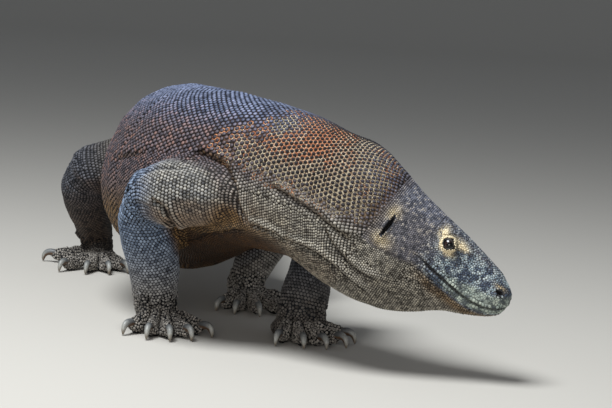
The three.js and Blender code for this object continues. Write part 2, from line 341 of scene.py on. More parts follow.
def soften(obj, values, rounds):
    """Numbers held by an object's vertices, averaged so many times with those of their neighbours."""
    ends = np.empty(len(obj.data.edges) * 2, np.int32)
    obj.data.edges.foreach_get("vertices", ends)
    one, two = ends.reshape(-1, 2).T
    size = len(values)
    links = np.maximum(np.bincount(one, minlength=size) + np.bincount(two, minlength=size), 1)
    for _ in range(rounds):
        total = np.bincount(one, values[two], size) + np.bincount(two, values[one], size)
        values = 0.5 * values + 0.5 * total / links
    return values


skin = copies_of(FLESH + ["eye_right", "eye_left"], "skin")
pick_only(skin)
put_spots(skin, spots_of(skin) + normals_of(skin) * CUT_CLOSER)
modify(skin, "REMESH", mode="VOXEL", voxel_size=SKIN_SQUARE, use_smooth_shade=True)
rough_spots = spots_of(skin)
_, _, out_of_body = body.address(rough_spots)
head_spots = in_head(rough_spots)
on_face = ease(head_spots[:, 0], -60, -10) * (np.abs(head_spots[:, 1]) < 75)
on_limb = ease(out_of_body, 1.03, 1.25) * (1 - on_face)
low_down = 1 - ease(rough_spots[:, 2], 0.03, 0.07)
tail = 1 - ease(rough_spots[:, 0], -0.7, 0.0)
broad = (1 - on_face) * (1 - on_limb) * (1 - low_down) * (1 - tail * 0.6)
modify(skin, "SMOOTH", factor=0.5, iterations=36, vertex_group=weigh(skin, "broad", broad))
modify(skin, "SMOOTH", factor=0.5, iterations=7, vertex_group=weigh(skin, "slender", 1 - 0.75 * low_down))
normals = normals_of(skin)
lost = ((rough_spots - spots_of(skin)) * normals).sum(1)
regained = soften(skin, lost, 10) - COAT_DEPTH
put_spots(skin, spots_of(skin) + normals * regained[:, None])
print("skin", len(skin.data.vertices), "vertices, smoothing took", round(float(lost.mean()) / MM, 2), "mm")


# %% Smaller squares on the face, neck, shoulders and feet
def near_front(points):
    local = in_head(points)
    neck = (local[:, 0] > -150) & (np.abs(local[:, 1]) < 110) & (points[:, 0] > 0.86)
    shoulder = (points[:, 0] > 0.74) & (points[:, 2] > 0.11) & (points[:, 1] < 0.02)
    far_shoulder = (points[:, 0] > 0.70) & (points[:, 2] > 0.11) & (points[:, 1] > 0.02)
    shoulder |= far_shoulder & (points[:, 2] < 0.26)
    return neck | (shoulder & (points[:, 2] < 0.29))


def near_feet(points):
    return (points[:, 2] < 0.05) & (points[:, 0] > 0.0) & (points[:, 0] < 0.9)


def near_features(points):
    local = in_head(points)
    x, y, z = local.T
    mouth = (x > 45) & (np.abs(z + 6) < 17)
    eye = np.hypot(x - 77, z - 28) < 19
    nostril = np.hypot(x - 167, z - 21) < 11
    ear = (np.abs(x) < 11) & (np.abs(z) < 22)
    return (np.abs(y) < 75) & (mouth | ((eye | nostril | ear) & (np.abs(y) > 12)))


refine(skin, lambda points: near_front(points) | near_feet(points))
modify(skin, "SMOOTH", factor=0.5, iterations=2)
refine(skin, near_features)
modify(skin, "SMOOTH", factor=0.5, iterations=1)

# %% [markdown]
# ## Folds, wrinkles and the face
#
# A big lizard's hide is a size too large. It hangs in long folds on the side of the neck and throat,
# and creases where a leg bends. Each fold here is a short line of places on the hide. Skin near the
# line is pulled in for the crease and the skin above it is pushed out for the roll that hangs over
# it. The mouth, nostrils, ears and lids are made in the same way, by moving the skin's vertices.

# %% Folds of the neck and the limbs, in millimetres
# Places on the hide, the depth of the crease, its half width, and the roll above it or, if less
# than nothing, below it.
NECK_FOLDS = [
    ([(929, -44, 237), (955, -17, 224), (976, 7, 210), (996, 32, 192), (1009, 56, 177)], 5.6, 3.4, 4.4),
    ([(987, 19, 197), (995, 34, 172), (1001, 44, 160), (1006, 70, 138), (1015, 102, 127)], 4.4, 3.2, 3.2),
    ([(942, -16, 165), (969, 10, 159), (987, 35, 146), (995, 63, 125), (995, 94, 107)], 4.2, 3.4, 3.4),
    ([(898, -58, 178), (912, -47, 177), (931, -28, 171), (942, -16, 163)], 3.6, 3.8, 3.2),
]
LIMB_FOLDS = [
    ([(850, -149, 246), (833, -137, 254), (828, -124, 264), (841, -115, 263), (859, -104, 258),
      (876, -93, 253), (887, -85, 239), (896, -79, 223), (896, -76, 210), (897, -68, 191),
      (895, -59, 174)], 5.6, 4.0, 3.0),
    ([(776, -216, 191), (799, -210, 209), (806, -200, 224), (825, -181, 237), (844, -162, 243),
      (858, -141, 245)], 4.0, 4.4, -2.0),
    ([(852, -187, 202), (855, -182, 197), (858, -167, 187), (833, -149, 162), (800, -145, 148),
      (765, -136, 138)], 6.4, 3.8, 2.4),
    ([(725, -123, 129), (779, -106, 143), (827, -89, 156), (855, -77, 163), (890, -59, 170)], 3.6, 4.0, 1.8),
    ([(781, -212, 156), (806, -193, 165), (823, -171, 166), (802, -158, 156)], 1.6, 3.0, 1.0),
    ([(798, -213, 185), (826, -197, 191), (843, -185, 188)], 1.4, 3.0, 0.8),
    ([(611, -211, 226), (672, -196, 241), (724, -179, 252)], 2.4, 5.0, 1.6),
]
FOLD_SPOTS = 24
FOLDS = [
    (through(places, FOLD_SPOTS) * MM, depth, width, roll)
    for places, depth, width, roll in NECK_FOLDS + LIMB_FOLDS
]


def segment_gap(points, line):
    """How far points are from a line of places, with the nearest place, its direction and its share."""
    best = np.full(len(points), 1e9)
    nearest = np.zeros_like(points)
    heading = np.zeros_like(points)
    share = np.zeros(len(points))
    for k in range(len(line) - 1):
        start, run = line[k], line[k + 1] - line[k]
        t = np.clip(((points - start) @ run) / (run @ run), 0, 1)
        foot = start + t[:, None] * run
        gap = np.linalg.norm(points - foot, axis=1)
        closer = gap < best
        best[closer] = gap[closer]
        nearest[closer] = foot[closer]
        heading[closer] = unit(run)
        share[closer] = (k + t[closer]) / (len(line) - 1)
    return best, nearest, heading, share


def fold_shares(points, normals):
    """For each point, how far the folds move it, and how deep in a crease and how far up a roll it is."""
    moved, creases, rolls = np.zeros((3, len(points)))
    for line, depth, width, roll in FOLDS:
        margin = 6 * width * MM
        inside = (points > line.min(0) - margin) & (points < line.max(0) + margin)
        close = np.flatnonzero(inside.all(1))
        gap, nearest, heading, share = segment_gap(points[close], line)
        above = np.cross(heading, normals[close])
        above *= np.sign(above[:, 2:3] + 1e-9) * np.sign(roll)
        offset = ((points[close] - nearest) * above).sum(1) / MM
        fade = np.clip(np.minimum(share, 1 - share) / 0.12, 0, 1) * (gap < margin)
        crease = bump(gap / MM, 0, width) * fade
        lip = bump(offset, 1.9 * width, 1.5 * width) * (offset > 0) * fade
        moved[close] += (abs(roll) * lip - depth * crease) * MM
        creases[close] = np.maximum(creases[close], crease * min(depth / 4, 1))
        rolls[close] = np.maximum(rolls[close], lip * min(abs(roll) / 3, 1))
    return moved, creases, rolls


def lumps(points, size):
    """Soft random rises and hollows about so far apart, mostly between -1 and 1."""
    total = np.zeros(len(points))
    for _ in range(9):
        way = unit(chance.normal(size=3)) * 2 * math.pi / (size * chance.uniform(0.8, 1.4))
        total += np.cos(points @ way + chance.uniform(0, 2 * math.pi))
    return total / 4


spots, normals = spots_of(skin), normals_of(skin)
moved, _, _ = fold_shares(spots, normals)
on_feet = 1 - ease(spots[:, 2], 0.03, 0.06)
hx, hy, hz = in_head(spots).T
moved += 2.6 * MM * ease(-hz, 40, 80) * ease(hx, -75, -40) * (np.abs(hy) < 80)
moved += (lumps(spots, 0.085) * 1.1 + lumps(spots, 0.028) * 0.45) * MM * (1 - on_feet) * (hx < -20)
for leg in legs:
    down, turned, reach = leg.address(spots)
    elbow, ankle = leg.run[40], leg.run[100]
    waves = 0.8 * np.cos(down / 0.0085 * 2 * math.pi + 1.2 * np.sin(turned)) * bump(down, elbow, 0.028)
    waves += 0.7 * np.cos(down / 0.0075 * 2 * math.pi + np.sin(2 * turned)) * bump(down, ankle, 0.018)
    waves -= 2.2 * bump(down, ankle - 0.004 + 0.003 * np.sin(turned), 0.0028)
    moved += waves * (reach < 1.4) * (reach > 0.7) * MM
put_spots(skin, spots + normals * moved[:, None])
print("folds and lumps move the skin by up to", round(float(np.abs(moved).max()) / MM, 2), "mm")


# %% Toes
def claw_axis(solid):
    """The root and the tip of a solid claw, and the level way that it points."""
    spots = np.array([v.co for v in solid.data.vertices], float)
    tip = spots[spots[:, 2] < spots[:, 2].min() + 1.5 * MM].mean(0)
    root = spots[np.linalg.norm(spots[:, :2] - tip[:2], axis=1).argmax()]
    return root, tip, unit(np.array([tip[0] - root[0], tip[1] - root[1], 0.0]))


PAWS = [f"{paw}_{side}" for paw in ("hand", "foot") for side in ("right", "left")]
TOES = {paw: [claw_axis(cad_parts[f"claw_{paw}_{toe}"]) for toe in range(1, 6)] for paw in PAWS}


def toe_address(points):
    """Way along the nearest toe, and millimetres back from its claw, off its middle and off the gap."""
    way = np.tile([1.0, 0.0, 0.0], (len(points), 1))
    back, aside, from_gap = np.full((3, len(points)), 99.0)
    for toes in TOES.values():
        middle = np.mean([root for root, _, _ in toes], axis=0)
        near = np.flatnonzero((np.linalg.norm(points - middle, axis=1) < 0.1) & (points[:, 2] < 0.055))
        offs = [points[near] - root for root, _, _ in toes]
        backs = np.array([-(off @ out) / MM for off, (_, _, out) in zip(offs, toes)])
        sides = np.array([np.abs(np.cross(off, out)[:, 2]) / MM for off, (_, _, out) in zip(offs, toes)])
        sides += 3 * np.maximum(-10 - backs, 0)
        order = sides.argsort(0)
        mine = (order[0], np.arange(len(near)))
        way[near] = np.array([out for _, _, out in toes])[order[0]]
        back[near] = backs[mine]
        aside[near] = sides[mine]
        from_gap[near] = sides[order[1], np.arange(len(near))] - sides[mine]
    return way, back, aside, from_gap


spots, normals = spots_of(skin), normals_of(skin)
way, back, aside, from_gap = toe_address(spots)
on_toe = ease(back, -14, -8) * (1 - ease(back, 24, 42))
ridge = 3.4 * bump(aside, 0, 7.0) + bump(aside, 0, 8.0) * (1.8 * bump(back, 6, 6) + 1.6 * bump(back, 22, 6))
ridge += 0.35 * np.cos(back / 4.6 * 2 * math.pi) * bump(aside, 0, 9.0)
toe_forms = on_toe * (ridge - 6.5 * bump(from_gap, 0, 4.0) * (aside < 16))
tip_of_toe = ease(-back, -6, 6) * bump(aside, 0, 7.5)
arch = 8.0 * bump(back, -2, 16) * bump(aside, 0, 6.5) * ease(spots[:, 2], 0.005, 0.012)
pushed = normals * toe_forms[:, None] + way * (11.0 * tip_of_toe)[:, None] + np.outer(arch, [0, 0, 1.0])
put_spots(skin, spots + pushed * (ease(spots[:, 2], 0.003, 0.009) * MM)[:, None])
print("toes stand out by", round(float(toe_forms.max()), 2), "mm at most")

# %% The head's features, in millimetres in its own frame
MOUTH = [
    (36, -6), (60, -6), (80, -9), (106, -12.2), (124, -14), (144, -14), (159, -10.8), (170, -6.5),
    (180, 1), (188, 9),
]
CHEEK_CREASE = [(4, -30), (18, -25), (42, -23), (55, -18), (80, -20), (101, -26), (122, -28), (150, -25)]
BROW = [(50, 42), (66, 41), (95, 37), (130, 34), (165, 33)]
EYE_AT = (77.0, 31.0, 28.0)
EYE_ROUND = 10.3
OPENING_AT = (-1.5, 1.6)
EYE_LONG = 8.4
EYE_TALL = 6.6
LID_THICK = 1.1
NOSTRIL_AT = (166, 18)
NOSTRIL_LONG = 5.6
NOSTRIL_TALL = 2.7
EAR_AT = (1, 2)
EAR_TALL = 15.0
EAR_LONG = 2.8


def level_of(line, x):
    """Height of a line on the side of the head above one place along it."""
    return np.interp(x, [p[0] for p in line], [p[1] for p in line])


def opening_gap(x, z, more=0.0):
    """Almond-shaped distance from the middle of the eye's opening: less than 1 inside it."""
    long, tall = EYE_LONG + more, EYE_TALL + more
    off_x, off_z = x - EYE_AT[0] - OPENING_AT[0], z - EYE_AT[2] - OPENING_AT[1]
    return (off_x / long) ** 2 + (np.abs(off_z) / tall) ** 1.25


def lid_fold(x, z):
    """Share of the curved fold above the eye, between its lids and the brow."""
    return bump(np.hypot(x - EYE_AT[0] + 1, z - EYE_AT[2] - 1), 11.5, 1.1) * ease(z + 0.2 * (x - 77), 31, 35)


def face_forms(x, y, z):
    """How far the skin of the face stands out from the plain head, in millimetres."""
    from_mouth = z - level_of(MOUTH, x)
    corner = ease(x, 36, 74)
    lips = 1.0 * bump(from_mouth, 4.0, 2.4) + 0.8 * bump(from_mouth, -4.4, 2.6)
    out = corner * (lips - 2.2 * bump(from_mouth, 0, 1.4))
    from_crease = z - level_of(CHEEK_CREASE, x)
    crease = 1.2 * bump(from_crease, 4.5, 3.0) - 1.7 * bump(from_crease, 0, 2.2)
    out += ease(x, 0, 12) * (1 - ease(x, 140, 155)) * crease
    out += ease(x, 48, 62) * (1 - ease(x, 150, 168)) * 1.5 * bump(z - level_of(BROW, x), 0, 3.5)
    out -= 1.8 * bump(np.hypot((x - 108) / 20, (z - 20) / 8), 0, 1.0)
    out += 2.2 * bump(np.hypot((x - 28) / 24, (z + 2) / 20), 0, 1.0)
    out -= 1.4 * bump(np.hypot((x - 52) / 12, (z - 22) / 12), 0, 1.0)
    out -= 1.3 * lid_fold(x, z)
    out += 2.2 * ease(x, 118, 145) * ease(-from_mouth, 3, 10)
    return np.where((x > -5) & (np.abs(y) > 4), out, 0)


spots, normals = spots_of(skin), normals_of(skin)
local = in_head(spots)
x, y, z = local.T
facing = normals @ HEAD_TURN
on_side_of_head = (x > -25) & (np.abs(y) < 75) & (spots[:, 0] > 0.9)
outward = face_forms(x, y, z)
nostril_gap = np.hypot((x - NOSTRIL_AT[0]) / NOSTRIL_LONG, (z - NOSTRIL_AT[1]) / NOSTRIL_TALL)
nostril = 4.5 * (1 - ease(nostril_gap, 0.55, 1.05)) - 1.1 * bump(nostril_gap, 1.35, 0.3)
outward -= nostril * (np.abs(y) > 8) * (x > 150)
ear_gap = np.hypot((x - EAR_AT[0]) / EAR_LONG, (z - EAR_AT[1]) / EAR_TALL)
ear = 10.0 * (1 - ease(ear_gap, 0.6, 1.05)) - 1.8 * bump(ear_gap, 1.5, 0.4)
outward -= np.where((np.abs(x) < 20) & (np.abs(z) < 30) & (np.abs(y) > 30), ear, 0)
local = local + facing * (outward * on_side_of_head)[:, None]
for side in (-1, 1):
    centre = np.array([EYE_AT[0], side * EYE_AT[1], EYE_AT[2]])
    off = local - centre
    apart = np.linalg.norm(off, axis=1)
    aside = np.hypot(off[:, 0], off[:, 2])
    slit = opening_gap(local[:, 0], local[:, 2])
    on_side = (aside < 22) & (off[:, 1] * side > -6)
    reach = EYE_ROUND + LID_THICK - (LID_THICK + 5.0) * (1 - ease(slit, 0.62, 0.88))
    hold = (1 - ease(aside, 10.5, 16)) * on_side
    wanted = centre + off / np.maximum(apart, 1e-6)[:, None] * reach[:, None]
    local = local + (wanted - local) * hold[:, None]
put_spots(skin, on_head(local))
# Painted shade: the ear holes, the nostrils and the eye openings are marked so that the hide there is
# painted nearly black.
hollow = np.maximum((1 - ease(ear_gap, 0.6, 0.95)) * (np.abs(x) < 20) * (np.abs(y) > 30),
                    (1 - ease(nostril_gap, 0.6, 0.95)) * (x > 150))
hollow = np.maximum(hollow, (1 - ease(opening_gap(x, z), 1.0, 1.2)) * (np.abs(y) > 12) * on_side_of_head)
print("the face's forms stand out by", round(float(outward[on_side_of_head].max()), 2), "mm at most")

# %% [markdown]
# ## Markings
#
# A dragon's colours follow its body: slate along the back, a rusty band high on the flank that turns
# orange and cream on the neck, ochre under the belly and throat, blue grey legs and a mottled face.
# One function works out how much of each marking any spot on the animal has, from its address. It
# is used for the skin and again for the scales, so that both carry the same markings. Some of the
# markings are painted light and shade: a bluish sky sheen on the back, shade on two legs and on the
# chest, a paler left hind leg, dark creases, ear holes and nostrils, and light on the tops of the folds.

# %% How much of each marking a spot has
MARKINGS = ("back", "rust", "ringed", "cream", "pale", "under", "limb", "sooty", "dusty", "face", "crown",
            "ochre", "lips", "eye_patch", "crease", "roll", "hollow")
# The middle of a small pale scuff on the neck, in metres.
SCUFF_AT = np.array([0.892, -0.023, 0.314])
# The cream patches beside the ring round the eye: where each is on the head and how far it spreads,
# lengthwise and upwards, in millimetres.
EYE_PATCHES = [(63, 36, 5.5, 7), (87, 36, 11, 4.5), (97, 35, 5, 3), (81, 20, 8, 4)]
# How much painted shade darkens a leg at its top and at its foot, the leg painted paler as if more
# lit, and how far below the mouth the chin begins.
PAINTED_LEG_SHADE = {"foreleg_left": (0.9, 0.7), "hindleg_right": (0.8, 0.95)}
PAINTED_PALER_LEG = "hindleg_left"
UNDER_LIP = 11.0


def markings(points, normals):
    """For each point, a value from 0 to 1 for each marking."""
    along, round_, out = body.address(points)
    around = np.abs(round_)
    x, y, z = in_head(points).T
    on_head_now = ease(x, -26, -2) * (np.abs(y) < 80) * (points[:, 0] > 0.86)
    from_mouth = z - level_of(MOUTH, x)
    jaw_line = np.where(x < 4, -30.0, level_of(CHEEK_CREASE, x))
    under_lip = np.maximum(jaw_line, level_of(MOUTH, x) - UNDER_LIP)
    jaw_line += (under_lip - jaw_line) * ease(x, 80, 110)
    face = on_head_now * ease(z - jaw_line, -4, 3)
    throat = on_head_now * (1 - ease(z - jaw_line, -4, 3))
    leg = ease(out, 1.05, 1.3) * (1 - on_head_now)
    tucked = 1 - ease(out, 1.0, 1.12)
    upper_leg, sooty, by_leg, painted_leg_light = np.zeros((4, len(points)))
    for line in legs:
        down, _, reach = line.address(points)
        near = ((reach < 1.35) & (down > -0.05)).astype(float)
        by_leg = np.maximum(by_leg, near)
        upper_leg = np.maximum(upper_leg, near * (1 - ease(down, 0.10, 0.16)))
        # Painted shade darkens two of the legs, from the top down to the foot.
        upper, lower = PAINTED_LEG_SHADE.get(line.name, (0, 0))
        sooty = np.maximum(sooty, near * (upper + (lower - upper) * ease(down, 0.12, 0.24)))
        # Painted light: the left hind leg is made paler, as if more lit.
        painted_leg_light = np.maximum(painted_leg_light, near * (line.name == PAINTED_PALER_LEG) * ease(down, 0.06, 0.18))
    limb = leg * (1 - 0.8 * upper_leg)
    from_ears = body.length - along
    front = 1 - ease(from_ears + 0.06 * (1 - ease(around, 0.3, 1.0)), 0.16, 0.31)
    behind_ears = ease(from_ears, 0.0, 0.10)
    high_neck = front * (1 - ease(around, 1.0, 1.5)) * (1 - leg) * (1 - on_head_now)
    high_neck *= 0.3 + 0.7 * ease(from_ears, 0.0, 0.09)
    flank = bump(around, 1.1, 0.55) * ease(along, 0.95, 1.15) * (1 - front) * (1 - leg)
    scuff = bump(np.linalg.norm(points - SCUFF_AT, axis=1), 0, 0.013)
    ear_patch = bump(np.hypot((x - 4) / 1.6, z + 17), 0, 9.0) + bump(np.hypot(x + 4, (z - 19) / 1.2), 0, 8.0)
    low = ease(around, 1.35, 1.9) * (1 - front) * (1 - leg) * (1 - on_head_now)
    behind_throat = ease(from_ears, 0.12, 0.28)
    # Painted shade under the neck, on the chest between the forelegs.
    shaded_breast = ease(from_ears, 0.13, 0.19) * (1 - ease(from_ears, 0.40, 0.55)) * ease(around, 2.15, 2.45)
    sooty = np.maximum(sooty, shaded_breast * (1 - by_leg) * tucked)
    under = np.maximum(ease(-normals[:, 2], 0.0, 0.6) * (1 - 0.6 * limb), ease(around, 2.2, 2.7) * (1 - leg))
    under = under * (0.2 + 0.8 * behind_throat)
    ochre = throat * ease(x, 50, 90) * bump(z - jaw_line, -6, 7)
    mouth_line_shade = bump(from_mouth, 0, 1.3) * (0.5 + 0.4 * ease(x, 90, 130)) * ease(x, 40, 60) * on_head_now
    upper_lip = 1 - ease(from_mouth - 8 * ease(x, 110, 140), 7, 14)
    lips = face * ease(x, 80, 118) * ease(from_mouth, -10, -7) * upper_lip
    eye_patch = 1 - ease(np.hypot(x - 76, (z - 29) * 1.05), 10.5, 13.5)
    for patch_x, patch_z, long, tall in EYE_PATCHES:
        eye_patch = np.maximum(eye_patch, bump(np.hypot((x - patch_x) / long, (z - patch_z) / tall), 0, 1.0))
    _, creases, rolls = fold_shares(points, normals)
    _, back, aside, from_gap = toe_address(points)
    shade_between_toes = bump(from_gap, 0, 3.0) * (aside < 16) * ease(back, -14, -8) * (1 - ease(back, 20, 34))
    nape_cream = (1 - ease(from_ears, 0.02, 0.14)) * 0.6
    nostril_rim = bump(np.hypot((x - 163) / 8, (z - 23) / 2.5), 0, 1.0) * face * (np.abs(y) > 8)
    cream = high_neck * (ease(around, 0.6, 1.3) * 0.7 + nape_cream) + ear_patch * (np.abs(y) > 30)
    shade_above_eye = lid_fold(x, z) * face * (np.abs(y) > 12)
    return {
        # Slate on the top of the body: partly its own colour and partly a painted bluish sky sheen.
        "back": (1 - ease(around, 0.45, 0.95)) * (1 - leg) * (1 - 0.6 * front),
        "rust": flank,
        "ringed": high_neck,
        "cream": np.clip(cream + scuff + nostril_rim, 0, 1),
        "pale": np.clip(front * ease(around, 1.1, 1.6) * (1 - face) + throat + leg * upper_leg, 0, 1),
        "under": np.clip(under * (1 - on_head_now) + low * 0.5, 0, 1),
        "limb": limb,
        "sooty": sooty,
        # Pale dusting near the ground on every leg, and painted light over the left hind leg.
        "dusty": limb * np.maximum(1 - ease(points[:, 2], 0.02, 0.15), painted_leg_light),
        "face": face,
        "crown": face * ease(z, 26, 44) * (1 - ease(x, 60, 110)),
        "ochre": ochre,
        "lips": lips,
        "eye_patch": eye_patch * (np.abs(y) > 12) * face,
        # Painted shade in recesses: the floors of the folds, the gaps between the toes, the line of the
        # mouth and the fold above each eye.
        "crease": np.clip(creases**1.6 + shade_between_toes + mouth_line_shade + shade_above_eye, 0, 1),
        # Painted highlight on the tops of the rolls that hang over the folds.
        "roll": rolls * (1 - creases),
        "hollow": np.zeros(len(points)),
    }


def store(obj, values):
    """Keeps numbers, one for each vertex, as attributes that the materials read."""
    for name, numbers in values.items():
        layer = obj.data.attributes.new(name, "FLOAT", "POINT")
        layer.data.foreach_set("value", np.asarray(numbers, np.float32))


skin_marks = markings(spots_of(skin), normals_of(skin))
skin_marks["hollow"] = hollow
store(skin, skin_marks)
for name in MARKINGS:
    print("skin", name, round(float(skin_marks[name].mean()), 3))

# %% [markdown]
# ## Shaders
#
# A material in Blender is a web of nodes, which is slow to read and slow to write by hand. Here a
# small class stands for one wire of the web, and the sums that are written with it add the Math
# nodes. Any other node comes from one method that is told its kind, its settings and its inputs.


# %% Wires and shaders
class Wire:
    """A value that leaves a node; sums with it make Math nodes."""

    def __init__(self, shader, socket):
        self.shader, self.socket = shader, socket

    def maths(self, operation, other, swapped=False):
        first, second = (other, self) if swapped else (self, other)
        return self.shader.node("ShaderNodeMath", {"operation": operation}, {0: first, 1: second})

    def __add__(self, other):
        return self.maths("ADD", other)

    def __sub__(self, other):
        return self.maths("SUBTRACT", other)

    def __rsub__(self, other):
        return self.maths("SUBTRACT", other, swapped=True)

    def __mul__(self, other):
        return self.maths("MULTIPLY", other)

    __radd__ = __add__
    __rmul__ = __mul__

    def step(self, low, high):
        """0 below low, 1 above high, and a soft step between."""
        limits = {"Value": self, "From Min": low, "From Max": high}
        return self.shader.node("ShaderNodeMapRange", {"interpolation_type": "SMOOTHSTEP"}, limits)


class Shader:
    """A material with one Principled surface."""

    def __init__(self, name):
        self.material = bpy.data.materials.new(name)
        self.material.use_nodes = True
        self.tree = self.material.node_tree
        self.surface = self.tree.nodes["Principled BSDF"]

    def link(self, socket, value):
        if isinstance(value, Wire):
            self.tree.links.new(value.socket, socket)
        else:
            socket.default_value = value

    def node(self, kind, settings=None, values=None, output=0):
        """Adds a node, sets it up, fills its inputs and gives the wire that leaves it."""
        node = self.tree.nodes.new(kind)
        for key, value in (settings or {}).items():
            if key == "stops":
                ramp = node.color_ramp
                while len(ramp.elements) < len(value):
                    ramp.elements.new(0.5)
                for element, (place, colour) in zip(ramp.elements, value):
                    element.position, element.color = place, colour
            else:
                setattr(node, key, value)
        for key, value in (values or {}).items():
            self.link(node.inputs[key], value)
        return Wire(self, node.outputs[output])

    def mark(self, name):
        return self.node("ShaderNodeAttribute", {"attribute_name": name}, output="Fac")

    def place(self):
        return self.node("ShaderNodeTexCoord", output="Object")

    def noise(self, size, detail=3.0, rough=0.55):
        """Cloudy noise whose blotches are about so many metres across."""
        values = {"Vector": self.place(), "Scale": 1 / size, "Detail": detail, "Roughness": rough}
        return self.node("ShaderNodeTexNoise", None, values)

    def cells(self, size, output="Distance"):
        """Small cells about so many metres across."""
        return self.node("ShaderNodeTexVoronoi", None, {"Vector": self.place(), "Scale": 1 / size}, output)

    def blend(self, share, first, second, kind="MIX"):
        """One colour going over into another."""
        return self.node("ShaderNodeMix", {"data_type": "RGBA", "blend_type": kind, "clamp_factor": True},
                         {0: share, 6: first, 7: second}, output=2)

    def layer(self, share, below, own, dark, light):
        """A layer of colour over another, going from its dark to its light tint."""
        return self.blend(share, below, self.blend(own, tint(*dark), tint(*light)))

    def finish(self, **inputs):
        for name, value in inputs.items():
            self.link(self.surface.inputs[name.replace("_", " ")], value)
        return self.material

    def relief(self, height, distance, strength=1.0):
        values = {"Height": height, "Distance": distance, "Strength": strength}
        return self.node("ShaderNodeBump", None, values, output="Normal")


def tint(red, green, blue):
    """A colour given as on a paint chart, 0 to 255."""
    return tuple((v / 255) ** 2.2 for v in (red, green, blue)) + (1.0,)


# %% Hide between the scales
# Each marking's strength on the hide, with its darkest and its lightest tint.
HIDE_TINTS = [
    ("rust", 0.7, (20, 15, 14), (58, 41, 33)),
    ("ringed", 1.0, (30, 18, 14), (96, 60, 40)),
    ("cream", 0.8, (52, 44, 34), (124, 110, 88)),
    ("pale", 0.9, (14, 12, 9), (46, 40, 32)),
    ("under", 0.85, (12, 7, 3), (42, 28, 12)),
    ("limb", 0.9, (6, 7, 9), (24, 27, 32)),
    ("face", 1.0, (26, 27, 31), (70, 70, 74)),
    ("ochre", 0.4, (26, 18, 10), (66, 46, 26)),
]


def hide_material():
    """Thin skin with fine grains: nearly black between most scales, partly its own colour and partly painted
    shade, and brown where it is ringed.
    """
    s = Shader("hide_between_scales")
    blotch = s.noise(0.05)
    fine = s.noise(0.0035, 2.0)
    grain = s.cells(0.0022)
    own = s.cells(0.0026, "Color")
    share = s.node("ShaderNodeSeparateColor", None, {"Color": own}, output="Red")
    patch = (blotch * 0.4 + share * 0.6).step(0.3, 0.7)
    # The hide's near black is partly its own colour and partly painted shade in the gaps between the scales.
    colour = s.blend(patch, tint(10, 9, 11), tint(34, 30, 34))
    for mark, strength, dark, light in HIDE_TINTS:
        colour = s.layer(s.mark(mark) * strength, colour, patch, dark, light)
    lips = s.mark("lips") * blotch.step(0.3, 0.6)
    colour = s.layer(lips, colour, patch, (70, 76, 72), (116, 124, 118))
    light_patch = s.mark("eye_patch") * s.noise(0.006, 2.0).step(0.24, 0.44)
    colour = s.layer(light_patch, colour, patch, (150, 132, 100), (214, 198, 162))
    # Painted shade: the creases of the folds, the gaps between the toes, the line of the mouth and the fold
    # above each eye are darkened.
    colour = s.blend(s.mark("crease") * 0.85, colour, tint(9, 7, 6))
    # Painted shade fills the ear holes, the nostrils and the eye openings.
    colour = s.blend(s.mark("hollow"), colour, tint(10, 8, 7))
    height = (1 - grain.step(0.0, 0.6)) + fine * 0.5
    return s.finish(Base_Color=colour, Roughness=fine * 0.15 + 0.6, Specular_IOR_Level=0.25,
                    Normal=s.relief(height, 0.0006, 0.7))


skin.data.materials.clear()
skin.data.materials.append(hide_material())
skin.data.shade_smooth()
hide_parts(*FLESH)
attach(skin, "root")
print("skin", sum(len(p.vertices) - 2 for p in skin.data.polygons), "triangles")

# %% [markdown]
# ## Where the scales grow
#
# A dragon's scales stand in rows across the body, each row shifted by half a scale from the one
# before, like bricks. To find the rows, rays are sent out from each line of the animal to the hide,
# which gives one ring of places for each row, and the scales are spaced evenly along that ring from
# the top downwards. Where a leg leaves the body, and on the face and feet, there are no neat rows:
# there the scales are thrown like darts, and one that lands too close to another is thrown away.

# %% Rows of scales
pick_only(skin)
depths = bpy.context.evaluated_depsgraph_get()
skin_tree = BVHTree.FromObject(skin, depths)
RING_RAYS = 73
RING_ANGLES = np.linspace(-math.pi, math.pi, RING_RAYS)
ROW_STEP = 0.86


def body_pitch(along):
    """Spacing of the scales along the back and flanks in metres, from the tail tip to the neck."""
    places = [0, 0.4, 0.9, 1.2, 1.8, 1.95, 2.1, 2.18]
    return np.interp(along, places, [4.5, 5.6, 6.8, 7.0, 7.4, 7.2, 6.2, 4.4]) * MM


def neck_side_pitch(along):
    """Spacing of the scales half way down the side of the neck."""
    return np.interp(along, [1.6, 1.9, 2.2], [5.3, 4.7, 4.4]) * MM


def throat_pitch(along):
    """Spacing of the small scales of the throat and the underside of the neck."""
    return np.interp(along, [1.6, 1.9, 2.2], [4.5, 3.9, 3.5]) * MM


def cheek_pitch(along):
    """Spacing of the fine scales on the back of the head and the cheeks."""
    return np.interp(along, [0.03, 0.06, 0.12], [3.8, 3.0, 2.8]) * MM


def jaw_pitch(along):
    """Spacing of the scales of the throat under the head, the same all along."""
    return 3.4 * MM


def leg_pitch(along):
    """Spacing of the scales down a leg in metres, fine at the top and coarser below the elbow or knee."""
    return np.interp(along, [0, 0.12, 0.18, 0.3, 0.4], [4.6, 4.7, 5.2, 5.0, 4.4]) * MM


def ring_at(line, along):
    """Places on the hide round one spot of a line, and which of them are this line's own hide."""
    section = line.section(along)
    spot = section[0]
    places, own = [], []
    for angle in RING_ANGLES:
        way, expected = way_out(section, angle)
        hit = skin_tree.ray_cast(Vector(spot), Vector(way), expected * 1.6)
        fits = hit[0] is not None and 0.72 * expected < hit[3] < 1.13 * expected
        places.append(np.array(hit[0]) if fits else spot + way * expected)
        own.append(fits)
    return np.array(places), np.array(own)


